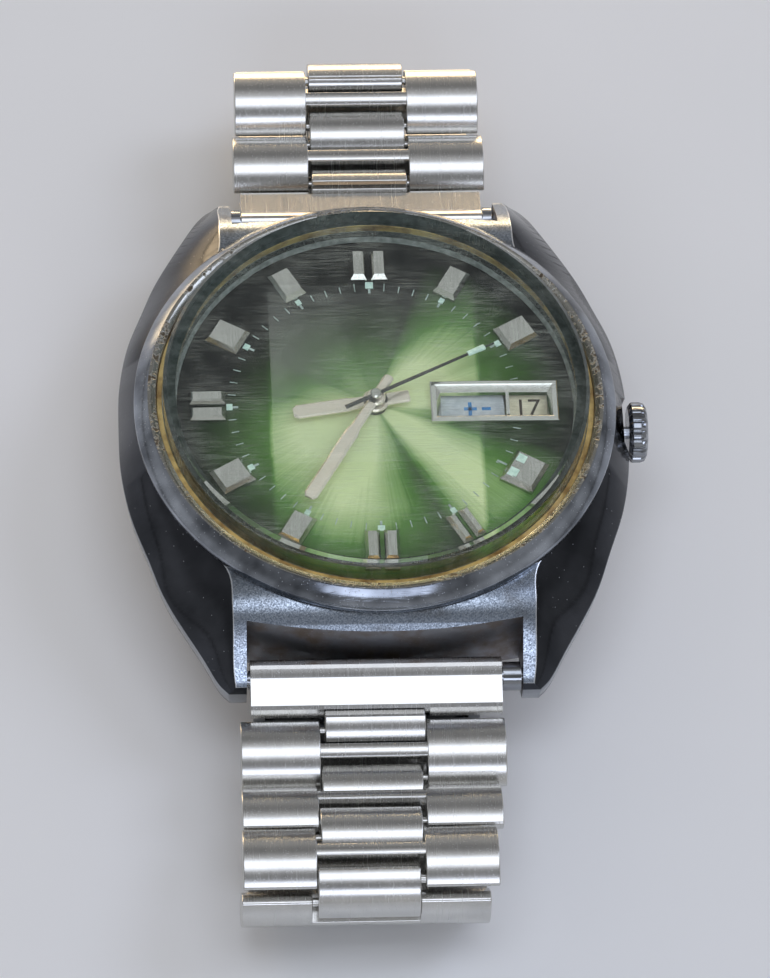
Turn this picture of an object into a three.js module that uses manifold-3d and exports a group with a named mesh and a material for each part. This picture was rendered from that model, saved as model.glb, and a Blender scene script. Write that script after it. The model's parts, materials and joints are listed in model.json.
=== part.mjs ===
import * as THREE from "three";
import { mergeVertices } from "three/addons/utils/BufferGeometryUtils.js";
import Module from "manifold-3d";

// A steel day-date wristwatch with its folded-link bracelet closed and lying flat under the head.
// Millimetres. X points to 3 o'clock, Y to 12 o'clock, Z up. The origin lies on the table,
// below the centre of the dial, on the flat underside of the clasp.

const wasm = await Module();
wasm.setup();

// ---- driving dimensions ----
const headHeight = 12.2; // table to the lower outer edge of the bezel
const caseWidth = 35.8;
const lugToLug = 40.8;
const lugGap = 19;
const caseFloor = headHeight - 6.3; // underside of the case middle
const caseTop = headHeight - 0.5; // ledge that carries bezel and gasket
const flankEdge = headHeight - 3.1; // where the polished flanks meet the side wall
const sideWallHeight = 1.9;
const lugWall = 0.9; // brushed top of a lug, from the lug gap to the flank
const stripHalf = lugGap / 2 + lugWall;
const barInset = 1.16; // spring bar axis to the lug tips
const springBarReach = lugToLug / 2 - barInset; // spring bar axis from the dial centre
const archRadius = 65; // case end wall between the lugs
const archReach = springBarReach - 1.74;
const lugDroop = 0.88; // how far the lug tips reach below the case middle
const seatRadius = 16.4; // flat underside that the case back meets

const bezelRadius = 16.85;
const bezelRidgeRadius = 15.95;
const bezelRise = 1.2;
const bezelWall = 0.75;

const crystalRadius = 14.85;
const gasketWall = 0.45;
const bezelBoreRadius = crystalRadius + gasketWall;
const crystalTop = headHeight + 3.1;
const crystalChamfer = 0.55;
const crystalSide = 0.9;
const crystalBowl = crystalRadius - crystalSide; // radius of the hollow under the crystal
const crystalThickness = 1.6;
const tableHalfX = 7.3; // flat facet in the middle of the crystal
const tableLow = -6.1;
const tableHigh = 8.0;
const facetDrop = 0.32; // how far the outer facets fall at the crystal's edge

const dialTop = headHeight - 0.6;
const dialThickness = 0.4;
const dialRadius = 14.2;
const gasketSeat = 1.15; // width of the ledge that the crystal stands on
const apertureRadius = crystalRadius - gasketSeat; // what shows of the dial
const markerReach = [apertureRadius - 3.3, apertureRadius - 0.8];
const markerRise = 0.6;

// inner end, outer end and height of the calendar frame and of the opening in it
const windowBox = [4.0, apertureRadius - 1.2, 3.4];
const openingBox = [4.6, apertureRadius - 1.7, 1.9];
const windowDivider = apertureRadius - 4.5;

const movementRadius = 13.3;
const plateLow = headHeight - 3.7;
const plateHigh = headHeight - 1.9;
const bridgeLow = headHeight - 6.1;
const bridgeThickness = 0.5;
const discLow = headHeight - 1.45; // calendar discs
const discThickness = 0.2;
const rotorLow = headHeight - 7.0;
const rotorThickness = 0.7;
const backLow = headHeight - 7.8;
const backRadius = 15.6;
const threadRadius = 14.6;

const crownRadius = 2.15;
const crownLength = 1.35;
const crownStart = caseWidth / 2 + 0.05;
const stemHeight = headHeight - 4;
const stemRadius = 0.45;

const springBarHeight = headHeight - 5.1;
const springBarRadius = 0.65;
const sleeveRadius = 1;
const springBarTip = 0.5;

const linkPitchWide = 3.44; // pin to pin in a wide link
const linkPitchCentre = 1.56; // pin to pin in a centre link
const linkCrest = 1.1;
const centreLinkWidth = 6.7;
const firstLinkWidth = 18.2;
const linkTaper = 0.46; // width lost from one wide link to the next
const webHalf = 0.5;
const pinRadius = 0.3;
const eyeBore = 0.55;
const eyeRadius = 0.92;
const endPieceRoom = 0.85; // between an end piece and each lug
const endPieceWidth = lugGap - 2 * endPieceRoom;
const endPieceBack = 1.25; // radius of its back, round the spring bar
const endPieceReach = 2.16;
const endPiecePinDrop = 0.45;
const tabRadius = 0.62; // eye of the first centre link, under the end piece
const tabBore = 0.42;

const claspWidth = 15.8;
const claspHeight = 4.1;
const claspSheet = 0.8;
const bladeSheet = 0.5;
const bladeWidth = 13;
const bladeLevel = 2; // underside of the outer blade
const coverHingeLevel = 2;
const foldLevel = 2.85;

// how far each strap droops, in degrees, from the lug to the lower run
const nearTilts = { endPiece: 3, wide: [15.5, -29.8, -5.6, 111.5, null, 180, 180] };
const farTilts = { endPiece: -0.8, wide: [-1, -18, 118, null, 180, 180, 180] };

// how far each strap lies out of line, sideways in its own frame: [pin number, offset]
const nearLie = [[0, 0.6], [8, 1.95], [14, 0.95]];
const farLie = [[0, 0], [8, 0], [14, -0.95]];

// ---- clearances ----
const runGap = 0.25; // between pieces that turn on each other
const shaftGap = 0.12;
const sideGap = 0.3;
const endReliefGap = 0.4; // case wall to the round back of an end piece

const hourAngle = 261; // clockwise from 12 o'clock
const minuteAngle = 211.2;
const secondAngle = 63.6;

// ---- materials ----
function metal(color, roughness) {
  return new THREE.MeshStandardMaterial({ color, roughness, metalness: 1 });
}

function plain(color, roughness) {
  return new THREE.MeshStandardMaterial({ color, roughness, metalness: 0 });
}

const polished = metal(0x8d9096, 0.12);
const brushed = metal(0xb9bbbd, 0.35);
const nickel = metal(0xc9c5b8, 0.3);
const brass = metal(0xc2a35a, 0.35);
const ruby = metal(0xb8a890, 0.4);
const handSteel = metal(0xd9d5cc, 0.15);
const dialGreen = plain(0x3f6f35, 0.35);
const cream = plain(0xd8d2bd, 0.6);
const paleGrey = plain(0xc9ced4, 0.6);
const yellowed = plain(0xcdb774, 0.5);
const glass = new THREE.MeshStandardMaterial({
  color: 0xe8f2ee, roughness: 0.05, metalness: 0, transparent: true, opacity: 0.3,
});

// ---- solids ----
const rad = THREE.MathUtils.degToRad;

function signedVolume(geometry) {
  const p = geometry.attributes.position;
  const i = geometry.index.array;
  const [a, b, c] = [new THREE.Vector3(), new THREE.Vector3(), new THREE.Vector3()];
  let sum = 0;
  for (let t = 0; t < i.length; t += 3) {
    a.fromBufferAttribute(p, i[t]);
    b.fromBufferAttribute(p, i[t + 1]);
    c.fromBufferAttribute(p, i[t + 2]);
    sum += a.dot(b.cross(c));
  }
  return sum / 6;
}

function solid(geometry) {
  const bare = geometry.clone();
  bare.deleteAttribute("normal");
  bare.deleteAttribute("uv");
  const merged = mergeVertices(bare, 1e-4);
  const flip = signedVolume(merged) < 0;
  const corners = [];
  const index = merged.index.array;
  for (let t = 0; t < index.length; t += 3) {
    const [a, b, c] = [index[t], index[t + 1], index[t + 2]];
    if (a === b || b === c || a === c) continue;
    corners.push(a, flip ? c : b, flip ? b : c);
  }
  const vertProperties = new Float32Array(merged.attributes.position.array);
  const triVerts = new Uint32Array(corners);
  return new wasm.Manifold(new wasm.Mesh({ numProp: 3, vertProperties, triVerts }));
}

function geometryOf(body) {
  const mesh = body.getMesh();
  const geometry = new THREE.BufferGeometry();
  const numbers = new Float32Array(mesh.vertProperties);
  geometry.setAttribute("position", new THREE.BufferAttribute(numbers, 3));
  geometry.setIndex(new THREE.BufferAttribute(new Uint32Array(mesh.triVerts), 1));
  geometry.computeVertexNormals();
  return geometry;
}

function outline(points) {
  return new THREE.Shape(points.map(([x, y]) => new THREE.Vector2(x, y)));
}

// an outline in X and Y, standing from low to high
function upright(points, low, high) {
  const geometry = new THREE.ExtrudeGeometry(outline(points), {
    depth: high - low, bevelEnabled: false, steps: 1,
  });
  return solid(geometry.translate(0, 0, low));
}

// an outline in Y and Z, running from left to right along X
function crosswise(points, left, right) {
  const geometry = new THREE.ExtrudeGeometry(outline(points), {
    depth: right - left, bevelEnabled: false, steps: 1,
  });
  const turned = new THREE.Matrix4().set(0, 0, 1, left, 1, 0, 0, 0, 0, 1, 0, 0, 0, 0, 0, 1);
  return solid(geometry.applyMatrix4(turned));
}

function block(x0, x1, y0, y1, z0, z1) {
  const geometry = new THREE.BoxGeometry(x1 - x0, y1 - y0, z1 - z0);
  return solid(geometry.translate((x0 + x1) / 2, (y0 + y1) / 2, (z0 + z1) / 2));
}

// a profile of [radius, height] points spun about Z
function spun(profile, segments = 40, x = 0, y = 0) {
  const points = [...profile, profile[0]].map(([r, z]) => new THREE.Vector2(r, z));
  const geometry = new THREE.LatheGeometry(points, segments);
  return solid(geometry.rotateX(Math.PI / 2).translate(x, y, 0));
}

function disc(radius, low, high, segments = 40, x = 0, y = 0) {
  return spun([[0, low], [radius, low], [radius, high], [0, high]], segments, x, y);
}

function ringOf(inner, outer, low, high, segments = 36) {
  return spun([[inner, low], [outer, low], [outer, high], [inner, high]], segments);
}

// a rod along X
function rod(radius, left, right, y, z, segments = 10) {
  const geometry = new THREE.CylinderGeometry(radius, radius, right - left, segments);
  return solid(geometry.rotateZ(Math.PI / 2).translate((left + right) / 2, y, z));
}

function circle(radius, cy, cz, count, from = 0, to = 360) {
  const full = to - from === 360;
  const steps = full ? count : count - 1;
  return Array.from({ length: count }, (unused, k) => {
    const a = rad(from + ((to - from) * k) / steps);
    return [cy + radius * Math.cos(a), cz + radius * Math.sin(a)];
  });
}

// the second number of a list of pairs at a value of the first, on straight stretches
function valueAt(pairs, at) {
  const next = Math.max(1, pairs.findIndex(([start]) => start >= at));
  const [[from, low], [to, high]] = [pairs[next - 1], pairs[next]];
  return low + ((high - low) * (at - from)) / (to - from);
}

function joined(...bodies) {
  return bodies.reduce((sum, body) => sum.add(body));
}

const model = new THREE.Group();

function put(name, body, material, parent = model) {
  const mesh = new THREE.Mesh(geometryOf(body), material);
  mesh.name = name;
  parent.add(mesh);
  return mesh;
}

// ---- case ----
// corner points of one quarter of the case seen from above: [x, y, height of the flank edge]
const tip = lugToLug / 2;
const quarter = [
  [caseWidth / 2, 0, 0],
  [caseWidth / 2 - 0.1, 3.5, 0],
  [caseWidth / 2 - 0.7, 7, -0.1],
  [caseWidth / 2 - 1.8, 10.25, -0.4],
  [caseWidth / 2 - 3.05, 13.6, -0.9],
  [stripHalf + 2.1, tip - 2.45, -1.2],
  [stripHalf + 1.1, tip - 0.75, -1.7],
  [stripHalf + 0.35, tip, -1.1 - lugDroop],
];
// height of the case's top against the distance from the dial centre towards a lug tip
const topLine = [
  [0, 0], [tip - 5.8, 0], [tip - 4.6, -0.1], [tip - 3.6, -0.62], [tip - 2.6, -1.48],
  [tip - 1.4, -2.65], [tip - 0.1, -3.95], [tip + 1, -5.2],
];
// where the flanks meet the top, one point for each corner above
const stripQuarter = [
  [bezelRadius - 0.15, 0], [bezelRadius - 0.5, 3.3], [bezelRadius - 1.65, 6.8],
  [bezelRadius - 3.55, 9.9], [stripHalf + 0.05, 13.3], [stripHalf, tip - 3.6],
  [stripHalf, tip - 1.4], [stripHalf - 0.1, tip - 0.15],
].map(([x, y]) => [x, y, valueAt(topLine, y)]);

// one quarter mirrored into the whole round, anticlockwise from 3 o'clock
function allRound(points) {
  const first = points;
  const second = points.slice(0).reverse().map(([x, y, z]) => [-x, y, z]);
  const upper = [...first, ...second.slice(0, -1)];
  const lower = upper.map(([x, y, z]) => [-x, -y, z]);
  const last = [-points[0][0], points[0][1], points[0][2]];
  const firstOpposite = [points[0][0], points[0][1], points[0][2]];
  return [...upper, last, ...lower.slice(1), ...(points[0][1] === 0 ? [] : [firstOpposite])];
}

// rings of equally many points, one above the other, closed by a fan at each end
function lofted(rings) {
  const count = rings[0].length;
  const corners = [];
  const centre = (ring) => [0, 0, ring.reduce((sum, p) => sum + p[2], 0) / count];
  const push = (...points) => points.forEach((p) => corners.push(...p));
  for (let k = 0; k < count; k++) {
    const n = (k + 1) % count;
    push(centre(rings[0]), rings[0][n], rings[0][k]);
    const top = rings[rings.length - 1];
    push(centre(top), top[k], top[n]);
    for (let r = 0; r + 1 < rings.length; r++) {
      push(rings[r][k], rings[r][n], rings[r + 1][n]);
      push(rings[r][k], rings[r + 1][n], rings[r + 1][k]);
    }
  }
  const geometry = new THREE.BufferGeometry();
  geometry.setAttribute("position", new THREE.Float32BufferAttribute(corners, 3));
  return solid(geometry);
}

function caseBlank() {
  const edge = allRound(quarter);
  const strip = allRound(stripQuarter);
  const lift = (ring, z, grow = 0) => ring.map(([x, y, dz]) => {
    const k = 1 + grow / Math.hypot(x, y);
    return [x * k, y * k, z + dz];
  });
  const wallTop = lift(edge, flankEdge);
  const wallFoot = lift(edge, flankEdge - sideWallHeight, -0.15);
  const floor = edge.map(([x, y, dz]) => {
    const k = 1 - 1.3 / Math.hypot(x, y);
    return [x * k, y * k, caseFloor + Math.min(0, dz + 1.1)];
  });
  const onCircle = (ring, radius, z) => ring.map(([x, y]) => {
    const k = radius / Math.hypot(x, y);
    return [x * k, y * k, z];
  });
  const underside = onCircle(edge, seatRadius, caseFloor);
  const blank = lofted([underside, floor, wallFoot, wallTop, lift(strip, caseTop - 0.03),
    strip.map(([x, y]) => [x, y, headHeight + 1])]);
  const line = topLine.map(([y, z]) => [y, caseTop + z]);
  const opposite = line.slice(1).reverse().map(([y, z]) => [-y, z]);
  const sky = [[tip + 1, headHeight + 3], [-tip - 1, headHeight + 3]];
  return blank.subtract(crosswise([...line, ...sky, ...opposite], -caseWidth, caseWidth));
}

function lugOpening(side) {
  const half = lugGap / 2;
  const arch = block(-half, half, 12, lugToLug / 2 + 3, caseFloor - 3, headHeight + 2);
  const wall = disc(archRadius, caseFloor - 4, headHeight + 3, 160, 0, archReach - archRadius);
  const opening = arch.subtract(wall);
  const barHole = springBarTip + shaftGap;
  const left = rod(barHole, -half - 1.2, -half + 0.5, springBarReach, springBarHeight);
  const right = rod(barHole, half - 0.5, half + 1.2, springBarReach, springBarHeight);
  const room = endPieceBack + endReliefGap;
  const relief = rod(room, -half, half, springBarReach, springBarHeight, 20);
  const under = block(-half, half, springBarReach - room, springBarReach, caseFloor - 2,
    springBarHeight);
  const cut = joined(opening, left, right, relief, under);
  return side > 0 ? cut : cut.rotate([0, 0, 180]);
}

function caseBody() {
  const bores = joined(
    disc(backRadius - 0.7, caseFloor - 2, caseFloor + 1.5),
    disc(movementRadius + 0.2, caseFloor, headHeight),
    disc(dialRadius + 0.1, dialTop - dialThickness, headHeight + 1),
    rod(stemRadius + 0.3, movementRadius - 1, caseWidth, 0, stemHeight, 16),
    rod(crownRadius + 0.3, crownStart - 0.15, caseWidth, 0, stemHeight, 32),
  );
  return caseBlank().subtract(joined(bores, lugOpening(1), lugOpening(-1)));
}

function bezel() {
  const low = caseTop;
  const foot = headHeight;
  return spun([
    [bezelBoreRadius, low], [bezelRadius, low], [bezelRadius, low + bezelWall],
    [bezelRidgeRadius, foot + bezelRise], [bezelRidgeRadius - 0.25, foot + bezelRise],
    [bezelBoreRadius, foot + bezelRise - 0.2],
  ], 48);
}

function crystal() {
  const seat = headHeight;
  const body = spun([
    [0, crystalTop - crystalThickness], [crystalBowl, crystalTop - crystalThickness],
    [crystalBowl, seat], [crystalRadius, seat], [crystalRadius, crystalTop - 0.6],
    [crystalRadius - crystalChamfer, crystalTop], [0, crystalTop],
  ]);
  return facetCuts().reduce((part, cut) => part.subtract(cut), body);
}

// four sloping planes round the flat table, each a wedge taken off the top
function facetCuts() {
  const far = 20;
  const slopes = [
    [tableHalfX, 0], [-tableHalfX, 180], [tableHigh, 90], [tableLow, 270],
  ];
  return slopes.map(([edge, angle]) => {
    const start = Math.abs(edge);
    const fall = (facetDrop * (far - start)) / (crystalRadius - start);
    const wedge = crosswise([[start, crystalTop], [far, crystalTop - fall],
      [far, crystalTop + 1], [start, crystalTop + 1]], -far, far);
    return wedge.rotate([0, 0, angle - 90]);
  });
}

function crystalGasket() {
  const outer = bezelBoreRadius - 0.03;
  return spun([
    [apertureRadius + 0.1, caseTop], [outer, caseTop], [outer, headHeight + 0.7],
    [crystalRadius + 0.05, headHeight + 0.7], [crystalRadius + 0.05, headHeight],
    [apertureRadius + 0.25, headHeight],
  ], 36);
}

// ---- dial ----
// widths of the applied hour blocks in mm, 12 o'clock first; 3 o'clock carries the window
const markerWidths = [2.6, 1.7, 2.1, 0, 2.6, 1.8, 2.4, 1.8, 2.1, 2.4, 2.1, 1.7];

function hourBlock(hour) {
  const half = markerWidths[hour] / 2;
  const [inner, outer] = markerReach;
  const side = [[inner, dialTop - 0.1], [outer, dialTop - 0.1], [outer, dialTop + markerRise - 0.2],
    [outer - 0.2, dialTop + markerRise], [inner + 0.3, dialTop + markerRise],
    [inner, dialTop + markerRise - 0.3]];
  const channel = block(-0.25, 0.25, inner - 1, outer + 1, dialTop + markerRise - 0.2, headHeight + 1);
  const bar = crosswise(side, -half, half);
  const cut = hour % 3 === 0 ? bar.subtract(channel) : bar;
  return cut.rotate([0, 0, -30 * hour]);
}

function dial() {
  const low = dialTop - dialThickness;
  const [x0, x1, tall] = openingBox;
  const plate = disc(dialRadius, low, dialTop);
  const blocks = markerWidths.map((w, hour) => (w ? hourBlock(hour) : null)).filter(Boolean);
  const window = block(x0, x1, -tall / 2, tall / 2, low - 1, dialTop + 1);
  const centre = disc(pipe.hour[1] + shaftGap, low - 1, dialTop + 1, 16);
  return joined(plate, ...blocks).subtract(joined(window, centre));
}

function windowFrame() {
  const [x0, x1, tall] = windowBox;
  const [a, b, high] = openingBox;
  const level = dialTop + 0.45;
  const body = upright([[x0, -tall / 2], [x1, -tall / 2], [x1, tall / 2], [x0, tall / 2]],
    dialTop, level);
  const bevel = hopper(a, b, high, 0.35, dialTop, level);
  const post = block(windowDivider - 0.12, windowDivider + 0.12, -high / 2, high / 2,
    dialTop, dialTop + 0.15);
  return joined(body.subtract(bevel), post);
}

// a rectangular hollow that widens towards the top
function hopper(x0, x1, tall, flare, low, high) {
  const rectangle = (grow, z) => [
    [x0 - grow, -tall / 2 - grow, z], [x1 + grow, -tall / 2 - grow, z],
    [x1 + grow, tall / 2 + grow, z], [x0 - grow, tall / 2 + grow, z],
  ];
  const middle = (x0 + x1) / 2;
  const shift = (ring) => ring.map(([x, y, z]) => [x - middle, y, z]);
  const body = lofted([shift(rectangle(0, low - 1)), shift(rectangle(0, low + 0.1)),
    shift(rectangle(flare, high + 0.01)), shift(rectangle(flare, high + 1))]);
  return body.translate([middle, 0, 0]);
}

// ---- hands ----
function handBlade(reach, tail, half, stemHalf, low, thick, hubRadius, bore) {
  const high = low + thick;
  const blade = upright([[-stemHalf, -tail], [stemHalf, -tail], [stemHalf, reach * 0.3],
    [half, reach * 0.36], [half, reach - 0.3], [half * 0.6, reach], [-half * 0.6, reach],
    [-half, reach - 0.3], [-half, reach * 0.36], [-stemHalf, reach * 0.3]], low, high);
  const hub = disc(hubRadius, low, high, 16);
  return joined(blade, hub).subtract(disc(bore, low - 1, high + 1, 14));
}

const hourLow = dialTop + 0.5;
const minuteLow = dialTop + 0.95;
const secondLow = dialTop + 1.35;
const handThick = 0.2;
const pipe = { hour: [0.55, 0.72], minute: [0.3, 0.43], second: [0, 0.18] };

function hourHand() {
  const blade = handBlade(5.85, 2.4, 0.56, 0.5, hourLow, handThick, 0.95, pipe.hour[0]);
  const tube = ringOf(pipe.hour[0], pipe.hour[1], dialTop - 1.2, hourLow + handThick, 14);
  return joined(blade, tube).rotate([0, 0, -hourAngle]);
}

function minuteHand() {
  const blade = handBlade(9.6, 2, 0.5, 0.36, minuteLow, handThick, 0.7, pipe.minute[0]);
  const tube = ringOf(pipe.minute[0], pipe.minute[1], plateLow - 0.55, minuteLow + handThick, 14);
  return joined(blade, tube).rotate([0, 0, -minuteAngle]);
}

function secondHand() {
  const blade = upright([[-0.16, -2.4], [0.16, -2.4], [0.1, 7], [0.22, 7.4], [0.22, 8.6],
    [0.05, 9.4], [-0.05, 9.4], [-0.22, 8.6], [-0.22, 7.4], [-0.1, 7]],
  secondLow, secondLow + 0.15);
  const cap = disc(0.4, secondLow, secondLow + 0.3, 16);
  const arbor = disc(pipe.second[1], trainLevel.fourth, secondLow + 0.1, 10);
  return joined(blade, cap, arbor).rotate([0, 0, -secondAngle]);
}

// ---- movement ----
// heights of the train wheels, and the radii that run against each other
const trainLevel = {
  centre: plateLow - 0.8, third: plateLow - 1.2, fourth: plateLow - 1.6, escape: plateLow - 1.2,
  balance: plateLow - 1.2, fork: plateLow - 0.8,
};
const wheelSheet = 0.2;
const balanceSeat = [6.76, 0.54]; // inner edge from the centre, and room left at the case
const wheelRadius = {
  barrel: 5, centre: 3.6, third: 3.58, fourth: 3.5, escape: 1.9,
  balance: (movementRadius - balanceSeat[0] - balanceSeat[1]) / 2,
};
const pinionRadius = { centre: 0.85, third: 0.45, fourth: 0.47, escape: 0.35 };
const meshGap = 0.1;
const bridgeHigh = bridgeLow + bridgeThickness;

function onPlan(distance, angle) {
  return [distance * Math.cos(rad(angle)), distance * Math.sin(rad(angle))];
}

const seat = {
  barrel: onPlan(wheelRadius.barrel + pinionRadius.centre + meshGap, 171),
  third: onPlan(wheelRadius.centre + pinionRadius.third + meshGap, 60),
  escape: onPlan(wheelRadius.fourth + pinionRadius.escape + meshGap, -60),
  fork: [4.35, -4.5],
  balance: onPlan(balanceSeat[0] + wheelRadius.balance, -45.4),
};

function wheel(radius, low, spokes, x, y) {
  const rim = radius - Math.max(0.35, radius * 0.14);
  const hub = Math.max(0.5, radius * 0.22);
  const plate = ringOf(rim, radius, low, low + wheelSheet, 20);
  const middle = disc(hub, low, low + wheelSheet, 10);
  const arms = Array.from({ length: spokes }, (unused, k) => (
    block(-0.2, 0.2, 0, rim + 0.1, low, low + wheelSheet).rotate([0, 0, (360 * k) / spokes])
  ));
  return joined(plate, middle, ...arms).translate([x, y, 0]);
}

function arbor(x, y, low = bridgeHigh - 0.25, high = plateLow + 0.3) {
  return disc(0.2, low, high, 8, x, y);
}

function centreWheel() {
  const low = trainLevel.centre;
  const body = joined(
    wheel(wheelRadius.centre, low, 4, 0, 0),
    disc(pinionRadius.centre, low, plateLow - 0.1, 16),
  );
  return body.subtract(disc(pipe.minute[1], low - 1, plateLow + 1, 14));
}

function thirdWheel() {
  const [x, y] = seat.third;
  const low = trainLevel.third;
  return joined(wheel(wheelRadius.third, low, 4, x, y),
    disc(pinionRadius.third, low, trainLevel.centre + 0.3, 12, x, y), arbor(x, y));
}

function fourthWheel() {
  const low = trainLevel.fourth;
  const body = joined(wheel(wheelRadius.fourth, low, 4, 0, 0),
    disc(pinionRadius.fourth, low, trainLevel.third + 0.3, 12));
  return body.subtract(disc(pipe.second[1], low - 1, plateLow + 1, 10));
}

function escapeWheel() {
  const [x, y] = seat.escape;
  const low = trainLevel.escape;
  const teeth = Array.from({ length: 15 }, (unused, k) => [
    [wheelRadius.escape - 0.5, 24 * k], [wheelRadius.escape, 24 * k + 15],
    [wheelRadius.escape - 0.1, 24 * k + 17],
  ]).flat();
  const body = upright(teeth.map(([r, angle]) => onPlan(r, angle)), low, low + wheelSheet)
    .translate([x, y, 0]);
  return joined(body, disc(pinionRadius.escape, trainLevel.fourth - 0.05, low + 0.1, 10, x, y),
    arbor(x, y));
}

function barrel() {
  const [x, y] = seat.barrel;
  const low = plateLow - 0.5;
  return joined(disc(wheelRadius.barrel, low, low + 0.4, 36, x, y),
    disc(wheelRadius.barrel - 0.4, low, plateLow + 0.95, 32, x, y),
    disc(0.8, bridgeHigh - 0.25, low + 0.1, 16, x, y));
}

function palletFork() {
  const [x, y] = seat.fork;
  const low = trainLevel.fork;
  const shape = upright([[-0.22, -1.5], [0.22, -1.5], [0.25, 0.3], [1.25, 0.75], [1.1, 1.1],
    [0, 0.7], [-1.1, 1.1], [-1.25, 0.75], [-0.25, 0.3]], low, low + wheelSheet);
  const lean = Math.atan2(seat.escape[1] - y, seat.escape[0] - x) / rad(1) - 90;
  return joined(shape.rotate([0, 0, lean]).translate([x, y, 0]), arbor(x, y));
}

function balanceWheel() {
  const [x, y] = seat.balance;
  const low = trainLevel.balance;
  return joined(wheel(wheelRadius.balance, low, 3, x, y),
    disc(0.5, low - 0.35, low + 0.1, 16, x, y), arbor(x, y));
}

function mainPlate() {
  const [bx, by] = seat.barrel;
  const bearings = ["third", "escape", "fork", "balance"].map((name) => (
    disc(0.2 + shaftGap, plateLow - 1, plateLow + 0.6, 8, ...seat[name])
  ));
  const cuts = joined(
    disc(pipe.hour[1] + shaftGap, plateHigh - 0.6, plateHigh + 1, 16),
    disc(pipe.minute[1] + shaftGap, plateLow - 1, plateHigh, 14),
    disc(wheelRadius.barrel - 0.2, plateLow - 1, plateLow + 1.15, 32, bx, by),
    block(5.8, movementRadius + 1, -stemRadius - 0.25, stemRadius + 0.25, plateLow - 1,
      stemHeight + stemRadius + 0.25),
    block(7.4, 10.6, -1.3, 1.3, plateLow - 1, stemHeight + 1.25),
    ...bearings,
  );
  return joined(disc(movementRadius, plateLow, plateHigh), plateRim()).subtract(cuts);
}

// the rim of the plate that holds dial and calendar discs apart
function plateRim() {
  return ringOf(movementRadius - 0.25, movementRadius, plateHigh - 0.1, dialTop - dialThickness);
}

function trainBridge() {
  const bearings = ["barrel", "third", "escape", "fork", "balance"].map((name) => (
    disc((name === "barrel" ? 0.8 : 0.2) + shaftGap, bridgeLow + 0.2, plateLow, 8, ...seat[name])
  ));
  const pillars = [110, 250, 20].map((angle) => (
    disc(1, bridgeLow + 0.1, plateLow, 12, ...onPlan(movementRadius - 1.6, angle))
  ));
  const sheet = disc(movementRadius, bridgeLow, bridgeHigh, 40);
  const post = disc(0.8, rotorLow - 0.05, bridgeLow + 0.1, 20);
  const head = disc(1.3, rotorLow - 0.05, rotorLow + 0.15, 20);
  return joined(sheet, ...pillars, post, head).subtract(joined(...bearings));
}

function rotor() {
  const low = rotorLow + 0.3;
  const reach = movementRadius - 0.5;
  const half = circle(reach, 0, 0, 22, -178, -2);
  const sheet = upright([...half, [2.2, 0.6], [-2.2, 0.6]], low, low + 0.2);
  const weight = upright([...half, ...circle(reach - 2.6, 0, 0, 18, -2, -178)], low - 0.1, low + 0.45);
  const hub = disc(2.4, low, low + 0.3, 24);
  const turned = joined(sheet, weight, hub).rotate([0, 0, 40]);
  return turned.subtract(disc(0.8 + shaftGap, low - 1, low + 1, 20));
}

function dateRing() {
  return ringOf(windowDivider + 0.1, movementRadius - 0.4, discLow, discLow + discThickness);
}

function dayDisc() {
  return ringOf(1.5, windowDivider - 0.2, discLow, discLow + discThickness);
}

function caseBack() {
  const shelf = caseFloor - 0.2;
  return spun([
    [0, backLow], [backRadius - 1.2, backLow], [backRadius, backLow + 0.6], [backRadius, shelf],
    [threadRadius, shelf], [threadRadius, caseFloor + 1.2], [threadRadius - 1, caseFloor + 1.2],
    [threadRadius - 1, backLow + 0.6], [0, backLow + 0.6],
  ]);
}

// ---- crown ----
const flutes = 18;

function crown() {
  const start = crownStart;
  const end = crownStart + crownLength;
  const edge = Array.from({ length: flutes }, (unused, k) => (
    [[0.15, -0.22], [0, -0.1], [0, 0.1], [0.15, 0.22]].map(([dip, share]) => {
      const a = (2 * Math.PI * (k + share)) / flutes;
      const radius = dip ? crownRadius - dip : crownRadius;
      return [radius * Math.cos(a), stemHeight + radius * Math.sin(a)];
    })
  )).flat();
  const grip = crosswise(edge, start + 0.2, end - 0.15);
  return joined(grip, rod(crownRadius - 0.3, start, end, 0, stemHeight, 24));
}

function stem() {
  return rod(stemRadius, 6.2, crownStart, 0, stemHeight, 12);
}

function clutchPinion() {
  const body = rod(1, 8, 10, 0, stemHeight, 18);
  const neck = rod(1.2, 8.7, 9.3, 0, stemHeight, 18).subtract(rod(0.75, 8.7, 9.3, 0, stemHeight, 18));
  return body.subtract(neck).subtract(rod(stemRadius + shaftGap, 7, 11, 0, stemHeight, 16));
}

// ---- bracelet ----
// shift is how far the end piece lies to one side, which leaves one sleeve longer
function springBar(shift) {
  const half = lugGap / 2;
  const shoulder = half - shaftGap;
  const tips = rod(springBarTip, -half - 0.9, half + 0.9, 0, 0);
  const barrelRod = rod(springBarRadius, -shoulder, shoulder, 0, 0, 12);
  const sides = [-1, 1].filter((side) => endPieceRoom - side * shift > 0.5);
  const sleeves = sides.map((side) => {
    const inner = side * (endPieceWidth / 2 + 0.1) + shift;
    const span = [inner, shoulder * side].sort((a, b) => a - b);
    return rod(sleeveRadius, span[0], span[1], 0, 0, 12);
  });
  return joined(tips, barrelRod, ...sleeves);
}

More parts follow.
